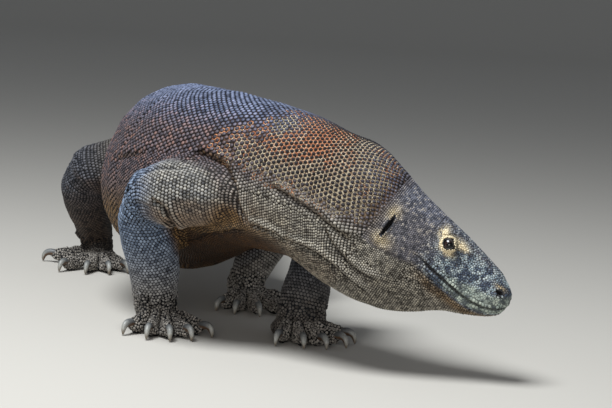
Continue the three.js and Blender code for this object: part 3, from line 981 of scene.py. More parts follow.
def grow_rows(line, start, end, pitch, inner=0.0, outer=4.0):
    """Roots of brick-laid rows of scales along a line, between two angles round it.

    Each root is a place, the way along, and the width and length that a scale has room for."""
    roots = []
    along, row, before = start, 0, None
    while along < end:
        size = float(pitch(along))
        ring, own = ring_at(line, along)
        run = np.concatenate([[0], np.cumsum(np.linalg.norm(np.diff(ring, axis=0), axis=1))])
        run -= run[RING_RAYS // 2]
        steps = np.arange(math.ceil(run[0] / size), math.floor(run[-1] / size) + 1) + 0.5 * (row % 2)
        steps = steps + chance.uniform(-0.07, 0.07, len(steps))
        stations = steps[(steps * size > run[0]) & (steps * size < run[-1])] * size
        if before is not None:
            gap = ring - before
            spread = np.linalg.norm(gap, axis=1)
            for station in stations:
                i = np.searchsorted(run, station)
                turned = abs(RING_ANGLES[i])
                if own[i] and own[i - 1] and inner <= turned < outer:
                    t = (station - run[i - 1]) / max(run[i] - run[i - 1], 1e-9)
                    roots.append(np.concatenate([
                        ring[i - 1] * (1 - t) + ring[i] * t, gap[i] / max(spread[i], 1e-9),
                        [size, spread[i - 1] * (1 - t) + spread[i] * t]]))
        before = ring
        along += size * ROW_STEP
        row += 1
    return np.array(roots)


HEAD_START = -18.0
NECK_START = 1.72
SIDE_ANGLE = 1.15
THROAT_ANGLE = 1.55
HEAD_ROWS_FROM = 0.036
CHEEK_ROWS_TO = 0.118
JAW_ROWS_TO = 0.215
JAW_ANGLE = 1.9
LIP_STEP = 4.2
LIP_TALL = 5.6
neck_end = body.length + 0.01
body_roots = np.vstack([
    grow_rows(body, 0.01, NECK_START, body_pitch),
    grow_rows(body, NECK_START, neck_end, body_pitch, outer=SIDE_ANGLE),
    grow_rows(body, NECK_START, neck_end, neck_side_pitch, inner=SIDE_ANGLE, outer=THROAT_ANGLE),
    grow_rows(body, NECK_START, neck_end, throat_pitch, inner=THROAT_ANGLE),
])
ahead_of_ears = in_head(body_roots[:, :3])[:, 0]
body_roots = body_roots[ahead_of_ears < HEAD_START]
head_roots = np.vstack([
    grow_rows(head, HEAD_ROWS_FROM, CHEEK_ROWS_TO, cheek_pitch, outer=JAW_ANGLE),
    grow_rows(head, HEAD_ROWS_FROM, JAW_ROWS_TO, jaw_pitch, inner=JAW_ANGLE),
])
head_roots = head_roots[in_head(head_roots[:, :3])[:, 0] >= HEAD_START]
print("rows on the body", len(body_roots), "and on the head", len(head_roots), "scales")
leg_roots = [grow_rows(leg, 0.02, leg.length - 0.02, leg_pitch) for leg in legs]
print("rows on the legs", [len(r) for r in leg_roots], "scales")

# %% The row of plates along each lip
def lip_rows(level):
    """Roots of oblong plates along the mouth on both sides, their middles so far above or below it."""
    roots = []
    for side in (-1, 1):
        before = None
        for x in np.arange(66.0, 179.0, LIP_STEP):
            start = on_head([x, side * 80.0, level_of(MOUTH, x) + level])[0]
            hit = skin_tree.ray_cast(Vector(start), Vector(HEAD_TURN[:, 1] * -side), 0.079)[0]
            if hit is None:
                continue
            spot = np.array(hit)
            if before is not None:
                gap = spot - before
                length = np.linalg.norm(gap)
                roots.append(np.concatenate([spot, gap / length, [LIP_TALL * MM, length * ROW_STEP]]))
            before = spot
    return np.array(roots)


lip_roots = np.vstack([lip_rows(3.9), lip_rows(-4.2)])
print("plates along the lips", len(lip_roots))

# %% Scales thrown like darts
def tree_of(places):
    """A tree that finds the nearest of these places quickly."""
    tree = KDTree(len(places))
    for i, place in enumerate(places):
        tree.insert(place, i)
    tree.balance()
    return tree


def keep_apart(roots, others, share):
    """Which of the roots are further from others than a share of their own size."""
    tree = tree_of(others)
    return np.array([tree.find(r[:3])[2] > share * r[6] for r in roots])


rows = np.vstack([body_roots, head_roots, lip_roots])
for own_rows in leg_roots:
    own_rows = own_rows[own_rows[:, 2] > ANKLE_HEIGHT]
    rows = np.vstack([rows, own_rows[keep_apart(own_rows, rows[:, :3], 0.8)]])


def dart_size(points):
    """Spacing of the thrown scales in metres: fine round the eyes and on the cheeks and feet."""
    x, y, z = in_head(points).T
    size = 3.8 + 0.6 * ease(points[:, 2], 0.6 * ANKLE_HEIGHT, ANKLE_HEIGHT)
    on_head_now = (x > HEAD_START - 8) & (np.abs(y) < 75) & (points[:, 0] > 0.9)
    from_eye = np.hypot(x - EYE_AT[0], z - EYE_AT[2])
    plates = 2.6 + 0.3 * ease(x, 70, 120) * ease(z, 0, 25) + 0.5 * ease(z, 30, 50)
    plates -= 0.4 * (1 - ease(from_eye, 12, 26))
    plates = np.where(z < level_of(MOUTH, x) - 8, 2.9, plates)
    return np.where(on_head_now, plates, size) * MM


CELLS_AROUND = list(itertools.product((-1, 0, 1), repeat=3))


def throw_darts(count):
    """Random places on the skin that keep their distance from the rows and from each other."""
    mesh = skin.data
    mesh.calc_loop_triangles()
    corners = np.empty(len(mesh.loop_triangles) * 3, np.int32)
    mesh.loop_triangles.foreach_get("vertices", corners)
    corners = spots_of(skin)[corners.reshape(-1, 3)]
    middles = corners.mean(1)
    tree = tree_of(rows[:, :3])
    from_rows = np.array([tree.find(middle)[2] for middle in middles])
    one_side, other_side = corners[:, 1] - corners[:, 0], corners[:, 2] - corners[:, 0]
    areas = np.linalg.norm(np.cross(one_side, other_side), axis=1)
    odds = areas / dart_size(middles) ** 2 * (from_rows > 0.7 * dart_size(middles))
    picked = chance.choice(len(corners), count, p=odds / odds.sum())
    a, b = np.sqrt(chance.random(count)), chance.random(count)
    shares = np.column_stack([1 - a, a * (1 - b), a * b])
    darts = (corners[picked] * shares[:, :, None]).sum(1)
    sizes = dart_size(darts)
    cell = 7.0 * MM
    grid, kept = {}, []
    for k in range(count):
        place, size = darts[k], sizes[k]
        _, near, gap = tree.find(place)
        if gap < 0.46 * (size + rows[near, 6]):
            continue
        key = tuple((place // cell).astype(int))
        clear = True
        for dx, dy, dz in CELLS_AROUND:
            for other in grid.get((key[0] + dx, key[1] + dy, key[2] + dz), ()):
                if math.dist(place, darts[other]) < 0.42 * (size + sizes[other]):
                    clear = False
        if clear:
            grid.setdefault(key, []).append(k)
            kept.append(k)
    return darts[kept], sizes[kept]


DARTS = 150000
dart_places, dart_sizes = throw_darts(DARTS)
print("thrown scales", len(dart_places))

# %% [markdown]
# ## One scale, modelled once
#
# A dragon's scale is a small bone covered in horn: round, domed and a little flat on top, with its
# foot in the skin. It is so small, and there are so many, that eight sides and one shoulder are
# enough. A cone with its top taken down gives the shape, and its closed foot is sunk in the skin.

# %% Model the scale
def model_scale(sides, shoulder):
    """A closed dome on a foot: its vertices, its faces, and how far out each vertex is."""
    cone = bpy.ops.mesh.primitive_cone_add
    bead = add_alone(cone, vertices=sides, radius1=1, radius2=0, depth=1.4, location=(0, 0, 0.25))
    bpy.ops.object.transform_apply(location=True)
    bpy.ops.object.mode_set(mode="EDIT")
    bpy.ops.mesh.select_all(action="SELECT")
    bpy.ops.mesh.bisect(plane_co=(0, 0, shoulder), plane_no=(0, 0, 1))
    bpy.ops.object.mode_set(mode="OBJECT")
    spots = spots_of(bead)
    rims = np.hypot(spots[:, 0], spots[:, 1])
    middle = np.abs(spots[:, 2] - shoulder) < 1e-4
    spots[middle, :2] *= (0.78 / rims[middle])[:, None]
    spots[middle, 2] = 0.66
    spots[spots[:, 2] > 0.9, 2] = 1.0
    faces = [list(p.vertices) for p in bead.data.polygons]
    bpy.data.objects.remove(bead)
    print("one scale", len(spots), "vertices", sum(len(f) - 2 for f in faces), "triangles")
    return spots, faces, np.hypot(spots[:, 0], spots[:, 1])


def model_granule():
    """A closed bead with five sides: its vertices, its faces, and how far out each vertex is."""
    bead = add_alone(bpy.ops.mesh.primitive_cone_add, vertices=5, radius1=1, radius2=0, depth=1.4)
    spots = spots_of(bead) + [0, 0, 0.3]
    faces = [list(p.vertices) for p in bead.data.polygons]
    bpy.data.objects.remove(bead)
    return spots, faces, np.hypot(spots[:, 0], spots[:, 1])


BIG_SCALE = model_scale(8, 0.3)
SMALL_SCALE = model_scale(6, 0.3)
GRANULE = model_granule()

# %% Every scale's place, way, size, marking and patch of the map
lines = [body, head] + legs
ROWED = np.arange(len(rows) + len(dart_places)) < len(rows)
places = np.vstack([rows[:, :3], dart_places])
sizes = np.concatenate([rows[:, 6], dart_sizes])
seated = [skin_tree.find_nearest(Vector(p)) for p in places]
places = np.array([s[0] for s in seated])
facing = unit(np.array([s[1] for s in seated]))
x, y, z = in_head(places).T
addresses = [line.address(places) for line in lines]
misfit = np.array([np.abs(a[2] - 1) for a in addresses])
misfit[1] = np.where((x > HEAD_START - 10) & (np.abs(y) < 80) & (places[:, 0] > 0.9), -1, 9)
owner = misfit.argmin(0)
along = np.choose(owner, [a[0] for a in addresses])
angle = np.choose(owner, [a[1] for a in addresses])
foot = (places[:, 2] < ANKLE_HEIGHT) & (owner >= 2)
print("scales by owner", np.bincount(owner).tolist())

ahead = np.zeros_like(places)
for k, line in enumerate(lines):
    mine = owner == k
    at = np.clip(np.searchsorted(line.run, along[mine]), 0, len(line.run) - 1)
    ahead[mine] = line.ahead[at]
ahead[: len(rows)] = rows[:, 3:6]
toe_way, toe_back, toe_aside, _ = toe_address(places)
on_toe = (toe_back < 36) & (toe_back > -14) & (toe_aside < 14)
ahead[on_toe] = toe_way[on_toe]
ahead = unit(ahead - facing * (ahead * facing).sum(1)[:, None])
across = np.cross(facing, ahead)

marks = markings(places, facing)
NEIGHBOURS = 8
neighbours = tree_of(places)
near = np.array([[hit[1] for hit in neighbours.find_n(p, NEIGHBOURS + 1)[1:]] for p in places])
gaps = places[near] - places[:, None]
near_angle = np.arctan2(-(gaps * ahead[:, None]).sum(2), (gaps * across[:, None]).sum(2))
near_gap = np.linalg.norm(gaps, axis=2)
spacing = np.clip(near_gap[:, :4].mean(1), 0.75 * sizes, 1.25 * sizes)
fill = 0.95 - 0.17 * marks["ringed"] + 0.05 * np.maximum(marks["face"], marks["lips"])
angular = np.clip(0.45 + 0.55 * np.maximum(marks["face"], np.maximum(marks["limb"], marks["pale"])), 0, 1)
angular = angular * (1 - 0.8 * marks["ringed"])
wide = 0.5 * fill * np.where(ROWED, sizes, spacing)
row_gaps = np.concatenate([rows[:, 7], sizes[len(rows):]]) / ROW_STEP
long = 0.5 * fill * np.where(ROWED, np.clip(row_gaps, 0.7 * sizes, 1.35 * sizes), spacing)
plump = 0.36 + 0.14 * marks["ringed"] - 0.14 * marks["face"] - 0.16 * marks["under"] - 0.14 * marks["lips"]
plump -= 0.08 * marks["limb"]
high = plump * np.minimum(wide, long) * 1.6
tone = chance.random(len(places))
uneven = 1 + 0.10 * (chance.random((3, len(places))) - 0.5)
wide, long, high = wide * uneven[0], long * uneven[1], high * uneven[2]
wide = np.where(on_toe, 1.2 * wide, wide)

# The hide is laid out flat on one square: the body in a band along the top, and the head, legs and
# feet below it. Each scale's patch of the map lies at its root's place there.
PATCH = 0.003
turn_share = (angle + math.pi) / (2 * math.pi)
flat = np.column_stack([0.01 + 0.98 * along / body.length, 0.56 + 0.43 * turn_share])
head_chart = np.column_stack([0.02 + 0.27 * along / head.length, 0.02 + 0.51 * turn_share])
flat[owner == 1] = head_chart[owner == 1]
for k, leg in enumerate(legs):
    mine = (owner == k + 2) & ~foot
    leg_chart = np.column_stack([0.31 + 0.105 * (k + 0.93 * turn_share), 0.02 + 0.5 * along / leg.length])
    flat[mine] = leg_chart[mine]
    on_foot = (owner == k + 2) & foot
    centre = places[on_foot, :2].mean(0)
    sole = facing[on_foot, 2] < -0.2
    spread = (places[on_foot, :2] - centre) * 0.5
    flat[on_foot] = np.column_stack([0.80 + 0.125 * sole + spread[:, 0], 0.08 + 0.13 * k + spread[:, 1]])
flat = np.clip(flat, 0.004, 0.996)

# %% Which scales are wanted
snout = ease(x, 45, 95) * (1 - 0.55 * ease(z, 28, 40)) * marks["face"]
SCALE_MARKS = [name for name in MARKINGS if name != "hollow"]
eye_gap = opening_gap(x, z, more=0.9) + 9 * (np.abs(y) < 12)
ear_near = np.hypot((x - EAR_AT[0]) / (EAR_LONG + 1.2), (z - EAR_AT[1]) / (EAR_TALL + 1.2))
ear_near += 9 * (np.abs(y) < 25)
nose_near = np.hypot((x - NOSTRIL_AT[0]) / (NOSTRIL_LONG + 0.8), (z - NOSTRIL_AT[1]) / (NOSTRIL_TALL + 0.8))
nose_near += 9 * (np.abs(y) < 10)
lip_near = np.where(x > 64, np.abs(z - level_of(MOUTH, x)), 9)
open_skin = (eye_gap < 1) | (ear_near < 1) | (nose_near < 1) | ((lip_near < 1.5) & (owner == 1))
too_low = places[:, 2] < 0.004
wanted = ~open_skin & ~too_low

# %% [markdown]
# ## Granules
#
# On the neck and shoulders each dark scale stands alone in a ring of beads not half as wide as it is,
# orange or cream. They are laid at twelve points round each scale, on the edges of the honeycomb
# that the scales make, and one that falls on another bead is left out.

# %% Lay the granules
GRANULES_ROUND = 12
GRANULE_SIZE = 0.2
homes = np.flatnonzero(ROWED & wanted & (owner == 0) & (marks["ringed"] > 0.05 + 0.8 * tone))
turns = np.arange(GRANULES_ROUND) / GRANULES_ROUND * 2 * math.pi
reaches = np.where(np.arange(GRANULES_ROUND) % 2, 0.56, 0.50)
sideways = across[homes, None] * np.cos(turns)[:, None]
lengthways = ahead[homes, None] * np.sin(turns)[:, None]
steps_out = reaches[None, :, None] * sizes[homes, None, None]
bead_places = places[homes, None] + (sideways + lengthways) * steps_out
bead_homes = np.repeat(homes, GRANULES_ROUND)
bead_places = bead_places.reshape(-1, 3) + chance.normal(0, 0.00012, (len(bead_homes), 3))


def thin_out(spots, gaps):
    """Which of the places to keep so that none is nearer to an earlier one than its own gap."""
    cell = 1.2 * MM
    grid, kept = {}, []
    for k, (spot, gap) in enumerate(zip(spots, gaps)):
        cx, cy, cz = (spot // cell).astype(int)
        around_it = [grid.get((cx + dx, cy + dy, cz + dz)) for dx, dy, dz in CELLS_AROUND]
        if all(other is None or math.dist(spot, spots[other]) > gap for other in around_it):
            grid[(cx, cy, cz)] = k
            kept.append(k)
    return np.array(kept)


kept = thin_out(bead_places, np.minimum(0.17 * sizes[bead_homes], 1.15 * MM))
bead_places, bead_homes = bead_places[kept], bead_homes[kept]
nearest_dome = np.array([neighbours.find(p)[2] for p in bead_places])
clear = nearest_dome > 0.40 * sizes[bead_homes]
bead_places, bead_homes = bead_places[clear], bead_homes[clear]
bead_places = np.array([skin_tree.find_nearest(Vector(p))[0] for p in bead_places])
print("granules", len(bead_places))


def grown(values, beads):
    """One value for each scale, then one for each granule."""
    return np.concatenate([values, beads])


first_bead = len(places)
bead_facing = facing[bead_homes]
bead_marks = markings(bead_places, bead_facing)
marks = {name: grown(marks[name], bead_marks[name]) for name in MARKINGS}
is_bead = grown(np.zeros(first_bead), np.ones(len(bead_places)))
places = np.vstack([places, bead_places])
facing, across, ahead = (np.vstack([v, v[bead_homes]]) for v in (facing, across, ahead))
bead_size = GRANULE_SIZE * sizes[bead_homes] * chance.uniform(0.8, 1.15, len(bead_homes))
wide, long = grown(wide, bead_size), grown(long, bead_size)
high = grown(high, bead_size * 0.8)
tone = grown(tone, chance.random(len(bead_homes)))
owner, along, angle = (grown(v, v[bead_homes]) for v in (owner, along, angle))
sizes = grown(sizes, bead_size)
fill, angular = grown(fill, np.ones(len(bead_homes))), grown(angular, np.zeros(len(bead_homes)))
near_angle, near_gap = (np.vstack([v, v[bead_homes]]) for v in (near_angle, near_gap))
flat = np.vstack([flat, flat[bead_homes] + (bead_places - places[bead_homes])[:, :2] * 0.4])
snout, wanted = grown(snout, np.zeros(len(bead_homes))), grown(wanted, np.ones(len(bead_homes))).astype(bool)


# %% [markdown]
# ## Setting the scales on the skin
#
# A round scale leaves wide gaps, and on the face, throat and legs of a dragon the scales are
# plates that all but touch. So the outline of each scale is partly an oval and partly the room it
# has: in each direction it may grow until it is half way to the neighbour that stands there.

# %% Set the scales on the skin
def room_towards(directions, chosen):
    """How far each chosen scale reaches in each direction before it is half way to a neighbour."""
    turned = np.cos(directions[None, :, None] - near_angle[chosen][:, None, :])
    room = 0.5 * near_gap[chosen][:, None, :] / np.maximum(turned, 0.2)
    crowded = near_gap[chosen][:, :4].mean(1)
    furthest = 0.75 * np.minimum(sizes[chosen], 1.1 * crowded)
    return np.minimum(room.min(2), furthest[:, None])


def set_scales(name, chosen, model):
    """One mesh with a scale at each chosen root, its markings and its patches of the map."""
    bead_spots, bead_faces, bead_rim = model
    n = int(chosen.sum())
    directions = np.arctan2(bead_spots[:, 1], bead_spots[:, 0])
    room = room_towards(directions, chosen) * fill[chosen][:, None]
    share = angular[chosen][:, None]
    half_wide = share * room + (1 - share) * wide[chosen][:, None]
    half_long = share * room + (1 - share) * long[chosen][:, None]
    sides = (bead_spots[:, 0] * half_wide)[:, :, None] * across[chosen][:, None]
    lengths = (bead_spots[:, 1] * half_long)[:, :, None] * -ahead[chosen][:, None]
    rises = bead_spots[None, :, 2:3] * (facing * high[:, None])[chosen][:, None]
    spots = (places[chosen][:, None] + sides + lengths + rises).reshape(-1, 3)
    corners = np.concatenate([np.array(f) for f in bead_faces])
    starts = np.concatenate([[0], np.cumsum([len(f) for f in bead_faces])[:-1]])
    step = np.arange(n)[:, None]
    all_corners = (corners[None] + step * len(bead_spots)).ravel()
    all_starts = (starts[None] + step * len(corners)).ravel()
    mesh = bpy.data.meshes.new(name)
    mesh.vertices.add(len(spots))
    mesh.vertices.foreach_set("co", spots.astype(np.float32).ravel())
    mesh.loops.add(len(all_corners))
    mesh.loops.foreach_set("vertex_index", all_corners.astype(np.int32))
    mesh.polygons.add(len(all_starts))
    mesh.polygons.foreach_set("loop_start", all_starts.astype(np.int32))
    mesh.update(calc_edges=True)
    obj = bpy.data.objects.new(name, mesh)
    bpy.context.scene.collection.objects.link(obj)
    chart = mesh.uv_layers.new(name="OFBake")
    around_root = bead_spots[corners, :2] * PATCH * 0.5
    chart.uv.foreach_set("vector", (flat[chosen][:, None] + around_root[None]).astype(np.float32).ravel())
    mesh.shade_smooth()
    each = len(bead_spots)
    store(obj, {mark: np.repeat(marks[mark][chosen], each) for mark in SCALE_MARKS})
    store(obj, {"snout": np.repeat(snout[chosen], each), "granule": np.repeat(is_bead[chosen], each)})
    store(obj, {"tone": np.repeat(tone[chosen], each), "rim": np.tile(bead_rim, n)})
    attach(obj, "root")
    print(name, n, "scales", len(mesh.polygons), "faces")
    return obj


def scale_material():
    """Horn over bone: slate, near black on the neck, blue grey on the legs, mottled on the face."""
    s = Shader("bony_scales")
    tone_ = s.mark("tone")
    blotch = s.noise(0.05)
    patch = s.noise(0.010, 2.0).step(0.3, 0.7)
    own = tone_ * 0.55 + patch * 0.45
    colour = s.blend(own, tint(48, 42, 48), tint(116, 107, 114))
    # Slate on the back, its own colour with a painted bluish sky sheen on the top.
    colour = s.layer(s.mark("back"), colour, own, (38, 43, 62), (124, 135, 164))
    rusty = s.mark("rust") * (patch * 0.5 + tone_ * 0.5).step(0.45, 0.8) * blotch
    colour = s.blend(rusty, colour, tint(134, 90, 66))
    colour = s.layer(s.mark("ringed"), colour, own, (7, 7, 10), (30, 28, 35))
    flecks = s.noise(0.005, 3.0)
    light_flecks = flecks.step(0.53, 0.64)
    dark_flecks = 1 - flecks.step(0.36, 0.47)
    pale = s.blend(own, tint(58, 55, 50), tint(150, 144, 133))
    pale = s.blend(light_flecks * 0.5, pale, tint(184, 176, 158))
    pale = s.blend(dark_flecks * 0.5, pale, tint(40, 36, 31))
    colour = s.blend(s.mark("pale"), colour, pale)
    colour = s.layer(s.mark("under") * 0.9, colour, own, (60, 42, 20), (146, 112, 66))
    colour = s.layer(s.mark("limb") * 0.95, colour, own, (42, 56, 76), (128, 144, 166))
    # Pale dusting on the lower legs, and painted light that makes the left hind leg paler.
    colour = s.layer(s.mark("dusty"), colour, own, (72, 68, 64), (160, 154, 146))
    # Painted shade on two legs and on the chest under the neck, brown where it lies on the underside.
    colour = s.layer(s.mark("sooty") * 0.9, colour, own, (24, 20, 18), (72, 64, 58))
    colour = s.layer(s.mark("sooty") * s.mark("under"), colour, own, (30, 17, 6), (84, 56, 26))
    clouds = s.noise(0.010, 4.0, 0.62)
    plain_face = s.blend(own, tint(52, 52, 58), tint(106, 103, 108))
    plain_face = s.layer(s.mark("crown"), plain_face, own, (40, 42, 52), (116, 118, 130))
    plain_face = s.blend(light_flecks * (tone_ * 0.5 + 0.25), plain_face, tint(172, 163, 150))
    plain_face = s.blend(dark_flecks * 0.5, plain_face, tint(30, 31, 36))
    snout_face = s.blend(own, tint(38, 46, 60), tint(74, 86, 104))
    snout_face = s.layer(clouds.step(0.45, 0.60), snout_face, tone_, (116, 132, 140), (172, 180, 178))
    colour = s.blend(s.mark("face"), colour, s.blend(s.mark("snout"), plain_face, snout_face))
    colour = s.layer(s.mark("face") * s.mark("cream"), colour, own, (128, 112, 86), (200, 184, 150))
    colour = s.layer(s.mark("ochre") * 0.7, colour, own, (56, 42, 26), (132, 104, 68))
    lips = s.layer(clouds.step(0.4, 0.56), tint(72, 78, 80), tone_, (134, 146, 138), (178, 186, 172))
    colour = s.blend(s.mark("lips") * 0.9, colour, lips)
    light_patch = (s.mark("eye_patch") * 1.4) * s.noise(0.006, 2.0).step(0.30, 0.42)
    colour = s.layer(light_patch, colour, own, (190, 172, 136), (240, 226, 194))
    # Painted highlight: the tops of the rolls over the folds are lightened.
    colour = s.blend(s.mark("roll") * 0.35 * s.mark("pale"), colour, tint(176, 170, 158))
    # Painted shade: each scale darkens towards its rim, less on the plates of the face, legs and pale
    # throat.
    plate = s.mark("face") + s.mark("limb") + s.mark("pale")
    edge = ((s.mark("rim") - plate * 0.22 - 0.5) * 2.2).step(0.0, 1.0)
    colour = s.blend(edge * 0.9, colour, tint(12, 11, 11), "MULTIPLY")
    orange = s.blend(tone_, tint(150, 90, 58), tint(212, 152, 110))
    straw = s.blend(tone_, tint(120, 106, 88), tint(200, 188, 164))
    straw_share = (s.mark("cream") * 0.9 + s.noise(0.03, 2.0) * 0.9 + tone_ * 0.4 - 0.2).step(0.45, 0.7)
    colour = s.blend(s.mark("granule"), colour, s.blend(straw_share, orange, straw))
    # Painted shade: the same creases darken the scales.
    colour = s.blend(s.mark("crease") * 0.7, colour, tint(14, 11, 9))
    fine = s.noise(0.0011, 2.0)
    return s.finish(Base_Color=colour, Roughness=fine * 0.2 + 0.45, Specular_IOR_Level=0.28,
                    Normal=s.relief(fine, 0.0002, 0.6))


scale_finish = scale_material()
length_share = along / body.length
bead = is_bead > 0.5
snout_side = in_head(places)[:, 0]
on_body = (owner == 0) & ~bead
above_throat = np.abs(angle) < THROAT_ANGLE
PIECES = {
    "scales_tail_end": on_body & (length_share < 0.38),
    "scales_tail_base": on_body & (length_share >= 0.38) & (length_share < 0.52),
    "scales_hips": on_body & (length_share >= 0.52) & (length_share < 0.62),
    "scales_back": on_body & (length_share >= 0.62) & (length_share < 0.71),
    "scales_ribs": on_body & (length_share >= 0.71) & (length_share < 0.80),
    "scales_shoulders": on_body & above_throat & (length_share >= 0.80) & (length_share < 0.90),
    "scales_neck": on_body & above_throat & (length_share >= 0.90),
    "scales_neck_under": on_body & ~above_throat & (length_share >= 0.80),
    "granules_neck": bead & (length_share >= 0.90),
    "granules_shoulders": bead & (length_share < 0.90),
    "scales_snout": (owner == 1) & (snout_side > 55),
    "scales_head": (owner == 1) & (snout_side <= 55),
    "scales_foreleg_right": owner == 2,
    "scales_foreleg_left": owner == 3,
    "scales_hindleg_right": owner == 4,
    "scales_hindleg_left": owner == 5,
}
FINE_PIECES = ("scales_neck_under", "scales_head", "scales_foreleg_right", "scales_foreleg_left",
               "scales_hindleg_right", "scales_hindleg_left")
for name, chosen in PIECES.items():
    model = SMALL_SCALE if name in FINE_PIECES else BIG_SCALE
    piece = set_scales(name, chosen & wanted, GRANULE if name.startswith("granules") else model)
    piece.data.materials.append(scale_finish)
print("scales in all", int(wanted.sum()))

# %% [markdown]
# ## Eyes
#
# Each eye is a ball in its socket with a clear, slightly raised window over the iris. A plain ball
# would look like a bead, so the window is pushed out, and the colours are rings round the way that
# the eye looks. A rim of lid runs round the opening, made from a torus that is bent onto the ball.

# %% Eyeballs
GAZE = Vector((0.22, 0.95, 0.12)).normalized()
WINDOW_RISE = 0.05


def eye_material():
    """A wet, nearly black eye with a dark brown iris."""
    s = Shader("wet_eye")
    ring = s.mark("from_gaze") + (s.noise(0.0012, 2.0) - 0.5) * 0.04
    stops = [
        (0.0, tint(5, 4, 4)), (0.15, tint(6, 5, 5)), (0.18, tint(52, 38, 36)),
        (0.25, tint(32, 23, 22)), (0.32, tint(10, 8, 7)), (1.0, tint(24, 19, 17)),
    ]
    colour = s.node("ShaderNodeValToRGB", {"stops": stops}, {"Fac": ring}, output="Color")
    wet = s.finish(Base_Color=colour, Roughness=0.12, IOR=1.4, Specular_IOR_Level=0.25)
    s.surface.inputs["Coat Weight"].default_value = 0.4
    s.surface.inputs["Coat Roughness"].default_value = 0.03
    return wet


eye_finish = eye_material()
for side, node in ((-1, "eye_right"), (1, "eye_left")):
    ball = add_alone(bpy.ops.mesh.primitive_uv_sphere_add, segments=32, ring_count=20, radius=1.0)
    ball.name = node.replace("eye", "eyeball")
    gaze = np.array([GAZE.x, GAZE.y * side, GAZE.z])
    turn = np.array(Vector((0, 0, 1)).rotation_difference(Vector(gaze)).to_matrix())
    spots = spots_of(ball) @ turn.T
    apart = np.arccos(np.clip(spots @ gaze, -1, 1)) / math.pi
    spots *= (1 + WINDOW_RISE * (1 - ease(apart, 0.08, 0.24)))[:, None] * (EYE_ROUND - 0.3)
    put_spots(ball, on_head(spots + np.array([EYE_AT[0], side * EYE_AT[1], EYE_AT[2]])))
    store(ball, {"from_gaze": apart})
    ball.data.shade_smooth()
    ball.data.materials.append(eye_finish)
    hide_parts(node)
    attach(ball, "root")
    print(ball.name, len(ball.data.polygons), "faces")

# %% Rims of the lids
RIM_THICK = 0.75
RIM_SHARE = 0.93


def lid_material():
    """Dark, creased skin at the edge of the lids, nearly black next to the eye."""
    s = Shader("lid_rims")
    crease = s.noise(0.0018, 2.0)
    colour = s.blend(crease.step(0.3, 0.6), tint(20, 16, 14), tint(58, 47, 39))
    colour = s.blend(s.mark("outer").step(0.4, 0.8), tint(10, 8, 8), colour)
    return s.finish(Base_Color=colour, Roughness=crease * 0.2 + 0.4, Normal=s.relief(crease, 0.0003))


lid_finish = lid_material()
for side, name in ((-1, "lids_right"), (1, "lids_left")):
    torus = bpy.ops.mesh.primitive_torus_add
    rim = add_alone(torus, major_segments=48, minor_segments=10, major_radius=1.0, minor_radius=0.1)
    rim.name = name
    ring_spots = spots_of(rim)
    turn_round = np.arctan2(ring_spots[:, 1], ring_spots[:, 0])
    inset = np.hypot(ring_spots[:, 0], ring_spots[:, 1]) - 1.0
    lift = ring_spots[:, 2]
    upper = np.sin(turn_round) > 0
    heavy = RIM_THICK * 10 * (1 + 0.35 * np.sin(turn_round) * upper)
    wide_x = RIM_SHARE * EYE_LONG + inset * heavy
    tall_z = RIM_SHARE * EYE_TALL + inset * heavy
    flat_x = wide_x * np.cos(turn_round) + OPENING_AT[0]
    flat_z = tall_z * np.sin(turn_round) * np.abs(np.sin(turn_round)) ** 0.6 + OPENING_AT[1]
    depth = np.sqrt(np.maximum(EYE_ROUND**2 - flat_x**2 - flat_z**2, 4.0)) + 0.15 + lift * heavy
    bent = np.column_stack([flat_x + EYE_AT[0], side * (depth + EYE_AT[1]), flat_z + EYE_AT[2]])
    put_spots(rim, on_head(bent))
    store(rim, {"outer": inset * 5 + 0.5})
    face_outwards(rim)
    rim.data.shade_smooth()
    rim.data.materials.append(lid_finish)
    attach(rim, "root")
    print(name, len(rim.data.polygons), "faces")

# %% [markdown]
# ## Claws
#
# The claws are horn: thick and round where they leave the toe, pressed a little flat from side to
# side, and hooked down to a blunt point. Each is shaped from a cylinder whose long edges are cut
# into rings. The rings are moved onto a hook between the root and the tip of the solid claw, and
# drawn in towards the tip.

# %% Claws
CLAW_SIDES = 12
CLAW_CUTS = 10
CLAW_HALF_WIDTH = 5.0 * MM
CLAW_HALF_HEIGHT = 6.0 * MM
CLAW_ARCH = 24.0 * MM


def horn_material():
    """Horn with fine grain, blue grey along its back and brown underneath, worn pale near the tip."""
    s = Shader("claw_horn")
    run = s.mark("to_tip")
    grain = s.noise(0.0014, 4.0)
    smear = s.noise(0.008)
    stops = [
        (0.0, tint(48, 46, 45)), (0.35, tint(90, 92, 93)), (0.75, tint(142, 142, 137)),
        (1.0, tint(112, 101, 86)),
    ]
    smeared = {"Fac": run + (smear - 0.5) * 0.4}
    colour = s.node("ShaderNodeValToRGB", {"stops": stops}, smeared, output="Color")
    colour = s.blend((s.mark("belly") + (smear - 0.5) * 0.6).step(0.45, 0.65), colour, tint(84, 64, 48))
    colour = s.blend(grain.step(0.5, 0.7) * 0.5, colour, tint(54, 48, 44))
    return s.finish(Base_Color=colour, Roughness=grain * 0.25 + 0.3, Normal=s.relief(grain, 0.0003))


